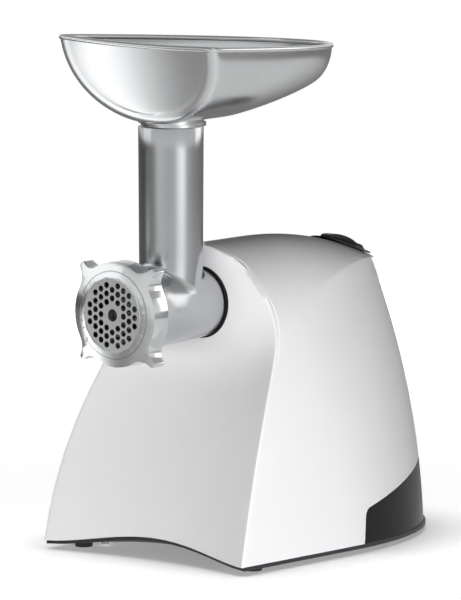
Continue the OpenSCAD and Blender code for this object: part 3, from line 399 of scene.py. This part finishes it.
def metal(name, colour, roughness, spread, grain, relief, stretch=(1, 1, 1)):
    """Metal with a grain of one size; a stretched grain reads as drawn or ground lines."""
    finish = Finish(name)
    worn = finish.noise(finish.place(), WEAR_PATCH)
    lines = finish.noise(finish.place(stretch), grain, 3.0)
    low_tone = [c * 0.93 for c in colour]
    return finish.finish({
        "Base Color": finish.mixed(worn, low_tone, colour),
        "Metallic": 1.0,
        "Roughness": worn * spread * 0.5 + lines * spread * 0.5 + (roughness - spread / 2),
    }, lines, relief)


cast_aluminium = metal("cast_aluminium", (0.57, 0.58, 0.59), 0.2, 0.06, 0.5, 0.005)
polished_nut = metal("polished_nut", (0.82, 0.83, 0.84), 0.16, 0.06, 0.8, 0.002)
plate_steel = metal("plate_steel", (0.74, 0.75, 0.76), 0.26, 0.1, 0.6, 0.006, (0.06, 1, 1))
hopper_sheet = metal("hopper_sheet", (0.78, 0.79, 0.8), 0.2, 0.07, 0.9, 0.002, (1, 0.08, 1))
machined_steel = metal("machined_steel", (0.56, 0.56, 0.57), 0.3, 0.1, 0.4, 0.006, (1, 0.2, 1))
tempered_steel = metal("tempered_steel", (0.11, 0.11, 0.115), 0.42, 0.1, 0.5, 0.006)
zinc_screw = metal("zinc_screw", (0.6, 0.61, 0.62), 0.35, 0.1, 0.6, 0.006)
gearbox_metal = metal("gearbox_metal", (0.5, 0.51, 0.52), 0.48, 0.15, 0.8, 0.03)
bronze = metal("bronze", (0.6, 0.42, 0.2), 0.42, 0.15, 0.35, 0.02)
lamination = metal("lamination", (0.3, 0.3, 0.32), 0.5, 0.15, 0.5, 0.08, (0.02, 1, 0.02))
copper = metal("copper", (0.62, 0.3, 0.13), 0.32, 0.15, 0.6, 0.12, (0.15, 1, 0.15))
print(len(bpy.data.materials), "finishes")

# %% [markdown]
# ## Dressing a piece
# Every finished piece needs the same last steps: faces that shade smoothly with sharp edges kept
# sharp, a finish, the body it moves with, and the plain part of the model that it stands for.

# %% Last steps of a piece


def dress(piece, finish, slot, body, *stands_for, angle=28):
    piece.data.materials.clear()
    piece.data.materials.append(finish)
    piece.data.shade_smooth()
    piece.data.set_sharp_from_angle(angle=math.radians(angle))
    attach(piece, body)
    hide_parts(*stands_for)
    piece.data.calc_loop_triangles()
    print(piece.name, len(piece.data.loop_triangles), "triangles")


def copy_of(node):
    """The node's surface as one closed mesh, with its flat faces whole again."""
    bm = bmesh.new()
    bm.from_mesh(frame["nodes"][node].data)
    bmesh.ops.remove_doubles(bm, verts=bm.verts, dist=0.002 * MM)
    bmesh.ops.dissolve_limit(bm, angle_limit=math.radians(0.6), verts=bm.verts, edges=bm.edges)
    return bm


def soften(bm, radius, angle=30, segments=2):
    """Rounds the edges that turn by more than an angle."""
    sharp = [e for e in bm.edges if e.is_manifold and e.calc_face_angle() > math.radians(angle)]
    bmesh.ops.bevel(bm, geom=sharp, offset=radius * MM, offset_type="OFFSET", segments=segments,
                    profile=0.5, affect="EDGES", clamp_overlap=True, material=-1)


# %% [markdown]
# ## The housing's surface
# The tower is one moulding of three surfaces that meet in creases. The side walls lean in along a
# wide arc and round off towards the rear. The dome is an oval arch that falls to the rear. The
# front leans back in an S below the head and has an arch in its bottom edge. Each surface is a
# flat grid that is moved point by point onto its rule, which keeps it smooth however fine the
# grid is. The five grids are then merged into one skin.

# %% Rules of the three surfaces
BASE_HALF, HEIGHT, WALL = 91.2, 211, 2.6
SIDE_R, REAR_R = 540, 500
ROUND_START, ROUND_LEAN, STRAIGHT = 120, 0.32, 0.28
DOME_HALF, DOME_RISE, DOME_FLARE = 74.2, 91, 35
RIDGE_FLAT, RIDGE_R = 120, 294
HALVINGS = 24
ARCH_HIGH, ARCH_FADES = 9.5, 120
BROW = 3.5
EDGE = {"start": -0.7, "lean_low": 11.5, "lean_high": 30.2, "bend": 120, "turn": 138,
        "upright": 173}
MIDDLE_LINE = {"start": 10.1, "lean_low": 9.7, "lean_high": 31, "bend": 112, "turn": 112,
               "upright": 148}


def mix(a, b, t):
    return a + (b - a) * t


def sag(radius, run):
    """How far an arc has fallen away after a run along its tangent."""
    return radius - math.sqrt(radius * radius - run * run)


def s_curve(z, start, lean_low, lean_high, bend, turn, upright):
    """Leans ever more along an arc, runs straight, then bends upright along an arc."""
    low, high = math.radians(lean_low), math.radians(lean_high)
    lower = bend / (math.sin(high) - math.sin(low))
    bend_y = start + lower * (math.cos(low) - math.cos(high))
    turn_y = bend_y + (turn - bend) * math.tan(high)
    upper = (upright - turn) / math.sin(high)
    if z < bend:
        return start + lower * (math.cos(low) - math.cos(math.asin(math.sin(low) + z / lower)))
    if z < turn:
        return bend_y + (z - bend) * math.tan(high)
    if z < upright:
        return turn_y + upper * (math.cos(math.asin((upright - z) / upper)) - math.cos(high))
    return turn_y + upper * (1 - math.cos(high))


def corner_y(z):
    """The front along its side edges, with a brow at the top."""
    brow = BROW * (max(0, z - EDGE["upright"]) / (HEIGHT - EDGE["upright"])) ** 2
    return s_curve(z, **EDGE) - brow


def middle_y(z):
    """The front along its middle line."""
    return s_curve(z, **MIDDLE_LINE)


def wall(s, z):
    """A point of the side wall: s runs from the front corner to the middle of the rear."""
    width = BASE_HALF - sag(SIDE_R, z)
    turn = ROUND_START - ROUND_LEAN * z
    if s <= STRAIGHT:
        return Vector((width, mix(corner_y(z), turn, s / STRAIGHT), z))
    a = math.radians(90) * (s - STRAIGHT) / (1 - STRAIGHT)
    rear = HOUSING_DEPTH - sag(REAR_R, z)
    return Vector((width * math.cos(a), mix(turn, rear, math.sin(a)), z))


def dome_z(x, y):
    """The dome's height: an oval arch that runs on straight where it gets steep."""
    c = DOME_FLARE / DOME_RISE
    flare_x = DOME_HALF * math.sqrt(1 - c * c)
    slope = DOME_RISE / DOME_HALF * math.sqrt(1 - c * c) / c
    if abs(x) < flare_x:
        drop = DOME_RISE * (1 - math.sqrt(1 - (x / DOME_HALF) ** 2))
    else:
        drop = DOME_RISE - DOME_FLARE + (abs(x) - flare_x) * slope
    return HEIGHT - sag(RIDGE_R, max(0, y - RIDGE_FLAT)) - drop


def crease(s):
    """Where the side wall meets the dome, found by halving."""
    low, high = HEIGHT - DOME_RISE - 30, HEIGHT
    for _ in range(HALVINGS):
        z = (low + high) / 2
        p = wall(s, z)
        low, high = (z, high) if dome_z(p.x, p.y) > z else (low, z)
    return wall(s, z)


print("the crease starts", round(crease(0).z, 1), "mm up and ends", round(crease(1).z, 1))

# %% The skin
ALONG, UP, OVER, ACROSS = 72, 60, 20, 60
FAN_TURN = math.radians(72)
CREASE_TURN, CREASE_STEP, CREASE_ROUND = math.radians(11), 1.2, 1.1
creases = [crease(i / ALONG) for i in range(ALONG + 1)]
ridge_front, ridge_rear = corner_y(HEIGHT), creases[-1].y


def fan(k):
    """Share of the half-width reached after k steps over the dome, finer towards the crease."""
    return math.sin(FAN_TURN * k / OVER) / math.sin(FAN_TURN)


def wall_rule(i, j):
    return wall(i / ALONG, mix(0, creases[i].z, j / UP))


def rim(k):
    """The dome's edge over the front, from the ridge to the crease."""
    if k == OVER:
        return creases[0]
    x = creases[0].x * fan(k)
    z = dome_z(x, 0)
    return Vector((x, corner_y(z), z))


def dome_rule(i, k):
    if i == 0:
        return rim(k)
    if k == OVER or i == ALONG:
        return creases[i]
    share = (creases[i].y - creases[0].y) / (creases[-1].y - creases[0].y)
    x = creases[i].x * fan(k)
    y = mix(mix(ridge_front, ridge_rear, share), creases[i].y, fan(k))
    y += (1 - i / ALONG) ** 2 * (rim(k).y - mix(ridge_front, creases[0].y, fan(k)))
    return Vector((x, y, dome_z(x, y)))


def arch(p):
    """The arch in the front's bottom edge; p runs from -1 at the left to 1."""
    return ARCH_HIGH * (1 - p * p) ** 2


def front_rule(j, m):
    edge = wall_rule(0, j) if j <= UP else rim(OVER - (j - UP))
    p = 2 * m / ACROSS - 1
    if abs(p) == 1 or edge.x == 0:
        return Vector((p * edge.x, edge.y, edge.z))
    z = edge.z + arch(p) * min(1, max(0, 1 - edge.z / ARCH_FADES))
    return Vector((p * edge.x, mix(corner_y(z), middle_y(z), 1 - p * p), z))


def laid(bm, rule, columns, rows, side=1):
    """A flat grid, moved point by point onto a rule."""
    grid = bmesh.ops.create_grid(bm, x_segments=columns, y_segments=rows, size=0.5)
    for v in grid["verts"]:
        p = rule(round((v.co.x + 0.5) * columns), round((v.co.y + 0.5) * rows))
        v.co = at(side * p.x, p.y, p.z)


def faces_out(bm, middle):
    """Turns all faces away from a place inside."""
    bmesh.ops.recalc_face_normals(bm, faces=bm.faces)
    if sum((f.calc_center_median() - middle).dot(f.normal) for f in bm.faces) < 0:
        bmesh.ops.reverse_faces(bm, faces=bm.faces)


def skin():
    bm = bmesh.new()
    for side in (1, -1):
        laid(bm, wall_rule, ALONG, UP, side)
        laid(bm, dome_rule, ALONG, OVER, side)
    laid(bm, front_rule, UP + OVER, ACROSS)
    bmesh.ops.remove_doubles(bm, verts=bm.verts, dist=0.02 * MM)
    faces_out(bm, at(0, 150, 100))
    sharp = [e for e in bm.edges if e.is_manifold and e.calc_face_angle() > CREASE_TURN
             and e.calc_length() > CREASE_STEP * MM]
    bmesh.ops.bevel(bm, geom=sharp, offset=CREASE_ROUND * MM, offset_type="OFFSET", segments=3,
                    profile=0.5, affect="EDGES", clamp_overlap=False, material=-1)
    return bm


bm = skin()
print(len(bm.faces), "faces in the skin,", sum(e.is_boundary for e in bm.edges), "open edges")
bm.free()

# %% [markdown]
# ## Housing and rear cover
# The white housing and the dark rear cover follow the same skin and share it along a line low on
# the sides. The skin gets its wall thickness first. A block with the cover's side view is then
# taken out of one copy and kept of the other, a little smaller, which leaves the fine gap that
# two mouldings have between them.

# %% Cutting one piece with another
ROD_SIDES = 96


def applied(piece):
    """Turns what the modifiers make into the piece's own mesh."""
    seen = piece.evaluated_get(bpy.context.evaluated_depsgraph_get())
    mesh = bpy.data.meshes.new_from_object(seen)
    piece.modifiers.clear()
    piece.data = mesh
    return piece


def cut(piece, cutter, operation="DIFFERENCE"):
    """Takes the cutter out of the piece, or keeps what both share."""
    change = piece.modifiers.new("cut", "BOOLEAN")
    change.operation, change.object, change.solver = operation, cutter, "EXACT"
    applied(piece)
    bpy.data.objects.remove(cutter)


def rod(where, direction, radius, length):
    """A round bar from a place in a direction."""
    bm = bmesh.new()
    bmesh.ops.create_cone(bm, cap_ends=True, segments=ROD_SIDES, radius1=radius * MM,
                          radius2=radius * MM, depth=length * MM)
    bmesh.ops.translate(bm, verts=bm.verts, vec=(0, 0, length * MM / 2))
    turn = Vector(direction).to_track_quat("Z", "Y").to_matrix().to_4x4()
    bmesh.ops.transform(bm, matrix=Matrix.Translation(where) @ turn, verts=bm.verts)
    return link("rod", bm)


def shell(name):
    """The skin with its wall thickness, laid on from the outside."""
    piece = link(name, skin())
    wall_mod = piece.modifiers.new("wall", "SOLIDIFY")
    wall_mod.thickness, wall_mod.offset = WALL * MM, -1
    return applied(piece)


# %% The line between housing and cover
COVER_Y, COVER_H, COVER_RISE, COVER_GAP = 129, 24, 0.21, 0.3
COVER_SLANT, COVER_ROUND = 6, 5
BLOCK_HALF, BEYOND = 110, 30


def cover_block(margin):
    """The cover's side view with its rounded corner, as wide as the machine."""
    bm = bmesh.new()
    far = HOUSING_DEPTH + BEYOND
    rise = COVER_RISE * (far - COVER_SLANT - COVER_Y)
    line = [(COVER_Y - margin, -BEYOND), (COVER_Y + COVER_SLANT - margin, COVER_H + margin),
            (far, COVER_H + margin + rise), (far, -BEYOND)]
    bm.faces.new([bm.verts.new(at(-BLOCK_HALF, y, z)) for y, z in line])
    bm.verts.ensure_lookup_table()
    bmesh.ops.bevel(bm, geom=[bm.verts[1]], offset=COVER_ROUND * MM, offset_type="OFFSET",
                    segments=6, profile=0.5, affect="VERTICES", clamp_overlap=True, material=-1)
    grown = bmesh.ops.extrude_face_region(bm, geom=bm.faces[:])
    bmesh.ops.translate(bm, verts=[v for v in grown["geom"] if isinstance(v, bmesh.types.BMVert)],
                        vec=(2 * BLOCK_HALF * MM, 0, 0))
    bmesh.ops.recalc_face_normals(bm, faces=bm.faces)
    return link("cover_block", bm)


# %% Housing
AXIS_Z, NECK_R, KNOB_Y, KNOB_R = 170.3, 23.3, 210, 17.2
SOCKET_ROOM, BEZEL_ROOM = 2.1, 1.7
knob_lean = math.asin((KNOB_Y - RIDGE_FLAT) / RIDGE_R)
knob_axis = Vector((0, math.sin(knob_lean), math.cos(knob_lean)))
knob_seat = at(0, KNOB_Y, dome_z(0, KNOB_Y))

housing = shell("housing_shell")
cut(housing, rod(at(0, 30, AXIS_Z), (0, 1, 0), NECK_R + SOCKET_ROOM, length=50))
cut(housing, rod(knob_seat - knob_axis * 20 * MM, knob_axis, KNOB_R + BEZEL_ROOM, length=40))
cut(housing, cover_block(0))
dress(housing, housing_white, "housing_white", "base", "housing", angle=24)

# %% Rear cover
GLAND_Z, GLAND_R = 17, 7
SLOT_LENGTH, SLOT_WIDTH, SLOT_STEP, SLOTS, GLAND_CLEAR = 22, 3, 8.5, 11, 12
SLOT_Z, SLOT_END, SLOT_DEEP, SLOT_INSIDE = GLAND_Z + 6, 0.49, 90, 30


def slots(places):
    """Upright air slots with round ends: each place is a turn about the middle of the rear."""
    bm = bmesh.new()
    for turn in places:
        grid = bmesh.ops.create_grid(bm, x_segments=1, y_segments=1, size=0.5 * MM)
        verts = grid["verts"]
        bmesh.ops.scale(bm, verts=verts, vec=(SLOT_WIDTH, SLOT_LENGTH, 1))
        bmesh.ops.bevel(bm, geom=verts, offset=SLOT_WIDTH * SLOT_END * MM, offset_type="OFFSET",
                        segments=6, profile=0.5, affect="VERTICES", clamp_overlap=True,
                        material=-1)
        face = [f for f in bm.faces if f.is_valid and not f.tag][0]
        grown = bmesh.ops.extrude_face_region(bm, geom=[face])
        lifted = [v for v in grown["geom"] if isinstance(v, bmesh.types.BMVert)]
        bmesh.ops.translate(bm, verts=lifted, vec=(0, 0, -SLOT_DEEP * MM))
        every = list({v for f in bm.faces if not f.tag for v in f.verts})
        matrix = (Matrix.Translation(at(0, ROUND_START, SLOT_Z))
                  @ Matrix.Rotation(-math.radians(turn), 4, "Z")
                  @ Matrix.Translation((0, (HOUSING_DEPTH - ROUND_START - SLOT_INSIDE) * MM, 0))
                  @ Matrix.Rotation(math.radians(90), 4, "X"))
        bmesh.ops.transform(bm, matrix=matrix, verts=every)
        for f in bm.faces:
            f.tag = True
    bmesh.ops.recalc_face_normals(bm, faces=bm.faces)
    return link("slots", bm)


cover = shell("rear_cover_shell")
cut(cover, cover_block(-COVER_GAP), "INTERSECT")
turns = [(i - (SLOTS - 1) / 2) * SLOT_STEP for i in range(SLOTS)]
cut(cover, slots([turn for turn in turns if abs(turn) > GLAND_CLEAR]))
cut(cover, rod(at(0, HOUSING_DEPTH - 30, GLAND_Z), (0, 1, 0), GLAND_R, length=60))
dress(cover, cover_dark, "cover_dark", "base", "rear_cover", angle=24)

# %% [markdown]
# ## Head
# The barrel is turned: its outline is spun about the auger's axis. The feed tube is a cone that
# runs down into the barrel through a fillet. The fillet's foot lies on the barrel at an even
# distance from the line where the two meet, so it stays even all the way round.

# %% Turning
SPIN_STEPS = 144


def turned(outline, where, axis):
    """Spins a closed outline of (radius, place along the axis) into a ring."""
    bm = bmesh.new()
    spots = [bm.verts.new((r * MM, 0, h * MM)) for r, h in outline]
    edges = [bm.edges.new(pair) for pair in zip(spots, spots[1:] + spots[:1])]
    bmesh.ops.spin(bm, geom=spots + edges, cent=(0, 0, 0), axis=(0, 0, 1), dvec=(0, 0, 0),
                   angle=math.tau, steps=SPIN_STEPS, use_merge=True, use_duplicate=False)
    bmesh.ops.remove_doubles(bm, verts=bm.verts, dist=0.001 * MM)
    bmesh.ops.recalc_face_normals(bm, faces=bm.faces)
    turn = Vector(axis).to_track_quat("Z", "Y").to_matrix().to_4x4()
    bmesh.ops.transform(bm, matrix=Matrix.Translation(where) @ turn, verts=bm.verts)
    return bm


# %% Barrel
# (radius, place along the axis): the outside runs back from the front, the hollow returns
TUBE_Y, TUBE_FOOT, TUBE_TOP_R, TUBE_TOP, TUBE_BORE = 30.625, 22, 22.75, 296.5, 20.5
SHOULDER_Y, SHOULDER_R, NECK_END, FRONT = 58.825, 24.4, 67.625, -30.475
BARREL = [(31, FRONT), (31, -15.875), (29.5, -13.875), (27.5, TUBE_Y - TUBE_FOOT - 2),
          (26.3, TUBE_Y - TUBE_FOOT + 8), (SHOULDER_R, SHOULDER_Y)]
HOLLOW = [(20, NECK_END), (20, 56.225), (8.15, 56.225), (8.15, 51.625), (21, 51.625),
          (21, -17.025), (27.2, -20.025), (27.2, FRONT)]
bm = turned(BARREL + [(NECK_R, SHOULDER_Y), (NECK_R, NECK_END)] + HOLLOW,
            at(0, 0, AXIS_Z), (0, 1, 0))
soften(bm, 0.4, 40)
head = link("grinder_head_piece", bm)

# %% Feed tube
COLUMNS, WALL_ROWS, FILLET, FILLET_ROWS, MEETING_UP = 120, 6, 5.5, 8, 24


def barrel_r(y):
    """The barrel's radius at a place along it."""
    for (r0, y0), (r1, y1) in zip(BARREL, BARREL[1:]):
        if y0 <= y <= y1:
            return mix(r0, r1, (y - y0) / (y1 - y0))


def tube_r(z):
    """The tube's radius at a height."""
    return mix(TUBE_FOOT, TUBE_TOP_R, (z - AXIS_Z) / (TUBE_TOP - AXIS_Z))


def meeting(phi, inset=0):
    """Where the tube's wall meets the barrel, as (turn round the barrel, y, radius)."""
    r = tube_r(AXIS_Z + MEETING_UP) - inset
    y = TUBE_Y + r * math.sin(phi)
    return math.asin(r * math.cos(phi) / barrel_r(y)), y, barrel_r(y)


def on_barrel(alpha, y, r, sunk=0):
    """A point on the barrel, or sunk below its surface."""
    return Vector(((r - sunk) * math.sin(alpha), y, AXIS_Z + (r - sunk) * math.cos(alpha)))


def tube_rule(i, j):
    """Rows from the tube's top, down its wall, along the fillet and back under the barrel."""
    phi = math.tau * i / COLUMNS
    alpha, y, r = meeting(phi)
    corner = on_barrel(alpha, y, r)
    ahead, behind = meeting(phi + 0.01), meeting(phi - 0.01)
    along = Vector((ahead[0] * ahead[2] - behind[0] * behind[2], ahead[1] - behind[1])).normalized()
    foot_y = y - along.x * FILLET
    foot_r = barrel_r(foot_y)
    foot_alpha = (alpha * r + along.y * FILLET) / foot_r
    foot = on_barrel(foot_alpha, foot_y, foot_r)
    z = corner.z + FILLET
    top = Vector((tube_r(z) * math.cos(phi), TUBE_Y + tube_r(z) * math.sin(phi), z))
    if j <= WALL_ROWS:
        z = mix(TUBE_TOP, top.z, j / WALL_ROWS)
        return Vector((tube_r(z) * math.cos(phi), TUBE_Y + tube_r(z) * math.sin(phi), z))
    if j <= WALL_ROWS + FILLET_ROWS:
        t = (j - WALL_ROWS) / FILLET_ROWS
        return top.lerp(corner, t).lerp(corner.lerp(foot, t), t)
    if j == WALL_ROWS + FILLET_ROWS + 1:
        return on_barrel(foot_alpha, foot_y, foot_r, 1.5)
    alpha, y, r = meeting(phi, 1)
    return on_barrel(alpha, y, r, 2)


bm = bmesh.new()
laid(bm, tube_rule, COLUMNS, WALL_ROWS + FILLET_ROWS + 2)
bmesh.ops.remove_doubles(bm, verts=bm.verts, dist=0.001 * MM)
bmesh.ops.holes_fill(bm, edges=[e for e in bm.edges if e.is_boundary], sides=0)
bmesh.ops.recalc_face_normals(bm, faces=bm.faces)
soften(bm, 0.5, 60)
cut(head, link("feed_tube", bm), "UNION")
cut(head, rod(at(0, TUBE_Y, AXIS_Z), (0, 0, 1), TUBE_BORE, length=200))

# %% Bayonet lugs
LUG_R, LUG_T, LUG_WIDE = 24.3, 2.4, 16.6
lugs = link("lugs", turned([(NECK_R - 1, 0), (LUG_R, 0), (LUG_R, LUG_T), (NECK_R - 1, LUG_T)],
                           at(0, NECK_END - LUG_T, AXIS_Z), (0, 1, 0)))
bm = bmesh.new()
bmesh.ops.create_cube(bm, size=1)
bmesh.ops.scale(bm, verts=bm.verts, vec=(60 * MM, 20 * MM, LUG_WIDE * MM))
bmesh.ops.translate(bm, verts=bm.verts, vec=at(0, NECK_END, AXIS_Z))
cut(lugs, link("lug_block", bm), "INTERSECT")
cut(head, lugs, "UNION")
dress(head, cast_aluminium, "cast_aluminium", "head", "grinder_head", angle=32)

# %% [markdown]
# ## Hopper
# The bowl is pressed from sheet. Its hull follows one rule in two angles, like a boat's. A flat
# cheek closes it at the front, and a wide fold runs between the two. A rolled bead stiffens the
# rim.

# %% Rules of the bowl
RIM_HALF, RIM_LEN, RIM_FRONT, RIM_FALL = 71.2, 195.5, -8.7, 0.075
KEEL_Z, RIM_Z, KEEL_FLAT, CHEEK_LEAN = 299, 356.65, 60, 14
KEEL_RISE, KEEL_POWER, FULLNESS, STERN_FULLNESS = 17, 1.3, 0.9, 0.25
SHEET, BEAD, FOLD, BULGE = 1.8, 1.85, 8, 4
COLLAR_H, NECK_HOLE, STERN_FINER = 3.5, 19, 1.25
INSIDE = (0, 60, 340)
GIRTH, LENGTH, FOLDS, LEVELS = 72, 60, 8, 24


def keel_at(y):
    """The keel's height: level under the neck, then rising ever more."""
    far = RIM_FRONT + RIM_LEN
    return KEEL_Z + KEEL_RISE * (max(0, y - KEEL_FLAT) / (far - KEEL_FLAT)) ** KEEL_POWER


def bowl_point(a, f):
    """a runs from the cheek to the stern, f from the left rim under the keel to the right."""
    a, f = math.radians(a), math.radians(f)
    y = mix(RIM_FRONT, RIM_FRONT + RIM_LEN, math.sin(a))
    top = RIM_Z - RIM_FALL * (y - RIM_FRONT)
    power = FULLNESS + STERN_FULLNESS * math.sin(a) ** 2
    down = (top - keel_at(y)) * max(0, math.cos(f)) ** power
    lean = CHEEK_LEAN * (1 - math.sin(a)) * down / (RIM_Z - KEEL_Z)
    return Vector((RIM_HALF * math.cos(a) * math.sin(f), y + lean, top - down))


def girth(j):
    """The angle round the bowl after j steps."""
    return 180 * j / GIRTH - 90


HULL_START = math.degrees(math.asin(FOLD / RIM_LEN))
CHEEK_OUT = Vector((0, -(RIM_Z - KEEL_Z), -CHEEK_LEAN)).normalized()


def cheek_edge(f):
    """The cheek's edge, a fold's width inside the corner."""
    along = bowl_point(0, min(90, f + 1)) - bowl_point(0, max(-90, f - 1))
    if abs(f) == 90:
        along = Vector((0, 0, 1 if f > 0 else -1))
    return bowl_point(0, f) + CHEEK_OUT.cross(along).normalized() * FOLD


def hull_rule(i, j):
    t = i / LENGTH
    return bowl_point(mix(HULL_START, 90, 1 - (1 - t) ** STERN_FINER), girth(j))


def fold_rule(i, j):
    f, t = girth(j), i / FOLDS
    first, corner, last = cheek_edge(f), bowl_point(0, f), hull_rule(0, j)
    return first.lerp(corner, t).lerp(corner.lerp(last, t), t)


def cheek_rule(i, j):
    edge = cheek_edge(90 * j / (GIRTH / 2))
    p = 2 * i / LEVELS - 1
    low, high = cheek_edge(0).z, RIM_Z
    up = (edge.z - low) / (high - low)
    return (Vector((edge.x * p, edge.y, edge.z))
            + CHEEK_OUT * BULGE * (1 - p * p) * up ** 0.5)


def bowl_skin():
    bm = bmesh.new()
    laid(bm, hull_rule, LENGTH, GIRTH)
    laid(bm, fold_rule, FOLDS, GIRTH)
    laid(bm, cheek_rule, LEVELS, GIRTH // 2)
    bmesh.ops.remove_doubles(bm, verts=bm.verts, dist=0.01 * MM)
    faces_out(bm, at(*INSIDE))
    return bm


# %% Bowl


def rim_loop(bm):
    """The places along the bowl's open edge, in order."""
    open_edges = [e for e in bm.edges if e.is_boundary]
    edge = open_edges[0]
    vert, places = edge.verts[0], []
    while edge:
        edge.tag = True
        vert = edge.other_vert(vert)
        places.append(vert.co.copy())
        edge = next((e for e in vert.link_edges if e.is_boundary and not e.tag), None)
    return places


bm = bowl_skin()
rim_places = rim_loop(bm)
print(len(rim_places), "places round the rim,", sum(e.is_boundary for e in bm.edges), "open edges")
hopper = link("hopper_piece", bm)
sheet_mod = hopper.modifiers.new("sheet", "SOLIDIFY")
sheet_mod.thickness, sheet_mod.offset = SHEET * MM, -1
applied(hopper)
cut(hopper, rod(at(0, TUBE_Y, KEEL_Z), (0, 0, 1), TUBE_TOP_R, COLLAR_H), "UNION")
cut(hopper, rod(at(0, TUBE_Y, KEEL_Z - 10), (0, 0, 1), NECK_HOLE, length=40))

# %% Rim bead
wire = bpy.data.curves.new("rim_wire", "CURVE")
wire.dimensions = "3D"
wire.bevel_depth, wire.bevel_resolution = BEAD * MM, 4
spline = wire.splines.new("POLY")
spline.points.add(len(rim_places) - 1)
middle = at(*INSIDE)
for point, place in zip(spline.points, rim_places):
    inward = Vector((middle.x - place.x, middle.y - place.y, 0)).normalized() * SHEET / 2 * MM
    point.co = (*(place + inward), 1)
spline.use_cyclic_u = True
bead = bpy.data.objects.new("rim_bead", wire)
bpy.context.scene.collection.objects.link(bead)
bead_mesh = bpy.data.meshes.new_from_object(bead.evaluated_get(
    bpy.context.evaluated_depsgraph_get()))
bpy.data.objects.remove(bead)
bm = bmesh.new()
bm.from_mesh(hopper.data)
bm.from_mesh(bead_mesh)
bm.to_mesh(hopper.data)
bm.free()
dress(hopper, hopper_sheet, "hopper_sheet", "hopper", "hopper_tray", angle=40)

# %% Pieces that keep the model's own shape
# Their edges are rounded a little, so that they catch the light as real edges do.


def rounded(node, finish, slot, body, radius, segments=2):
    bm = copy_of(node)
    soften(bm, radius, segments=segments)
    dress(link(node + "_piece", bm), finish, slot, body, node)


rounded("base_plate", base_grey, "base_grey", "base", 0.3)
rounded("ring_nut", polished_nut, "polished_nut", "ring", 0.7, segments=3)
rounded("hopper_neck", hopper_sheet, "hopper_sheet", "hopper", 0.35)
rounded("switch_bezel", switch_black, "switch_black", "base", 0.3)
rounded("switch_knob", switch_black, "switch_black", "knob", 0.8, segments=3)
rounded("socket_seal", rubber, "seal_rubber", "base", 0.4)
rounded("drive_socket", socket_black, "socket_black", "base", 0.3)
for side in ("front_left", "front_right", "rear_left", "rear_right"):
    rounded("foot_" + side, rubber, "foot_rubber", "base", 0.4)

# %% Perforated plate
PLATE_Y, PLATE_R, PLATE_T, HOLE_R, PITCH, CENTRE_R = -31.275, 27, 5, 2.15, 5.9, 4.15
NOTCH_R, RIM_BAND, HUB_BAND, HOLE_ROWS = 1.6, 1.9, 1.2, 5
EDGE_CUT, CENTRE_CUT = 0.4, 0.25
bm = turned([(PLATE_R - EDGE_CUT, 0), (PLATE_R, EDGE_CUT), (PLATE_R, PLATE_T),
             (CENTRE_R, PLATE_T), (CENTRE_R, CENTRE_CUT), (CENTRE_R + CENTRE_CUT, 0)],
            at(0, PLATE_Y, AXIS_Z), (0, 1, 0))
plate = link("perforated_plate_piece", bm)
holes = bmesh.new()


def hole(x, z, radius):
    """Adds one round cutter through the plate."""
    made = bmesh.ops.create_cone(holes, cap_ends=True, segments=24, radius1=radius * MM,
                                 radius2=radius * MM, depth=2 * PLATE_T * MM)
    place = Matrix.Translation(at(x, PLATE_Y + PLATE_T / 2, AXIS_Z - z))
    bmesh.ops.transform(holes, matrix=place @ Matrix.Rotation(math.radians(90), 4, "X"),
                        verts=made["verts"])


for i in range(-HOLE_ROWS, HOLE_ROWS + 1):
    for j in range(-HOLE_ROWS, HOLE_ROWS + 1):
        x, z = i * PITCH * math.sqrt(3) / 2, (j + (abs(i) % 2) / 2) * PITCH
        if CENTRE_R + HOLE_R + HUB_BAND < math.hypot(x, z) < PLATE_R - HOLE_R - RIM_BAND:
            hole(x, z, HOLE_R)
hole(0, PLATE_R, NOTCH_R)
cut(plate, link("plate_holes", holes))
dress(plate, plate_steel, "plate_steel", "head", "perforated_plate")

# %% Inner pieces
# They keep the model's own meshes and get a finish by their slot.
plain = {"foot_rubber": rubber, "base_grey": base_grey, "cover_dark": cover_dark,
         "housing_white": housing_white, "switch_black": switch_black,
         "inner_plastic": inner_plastic, "socket_black": socket_black,
         "seal_rubber": rubber, "cast_aluminium": cast_aluminium, "polished_nut": polished_nut,
         "plate_steel": plate_steel, "hopper_sheet": hopper_sheet, "gear_plastic": gear_plastic,
         "machined_steel": machined_steel, "zinc_screw": zinc_screw, "gearbox_metal": gearbox_metal,
         "bronze": bronze, "copper": copper, "lamination": lamination, "fan_black": fan_black,
         "nylon_washer": nylon, "capacitor_yellow": capacitor_yellow}
for part in frame["record"]["subparts"]:
    node = frame["nodes"][part["node"]]
    tempered = part["node"] in ("knife", "auger")
    node.data.materials.clear()
    node.data.materials.append(tempered_steel if tempered else plain[part["material_slot"]])
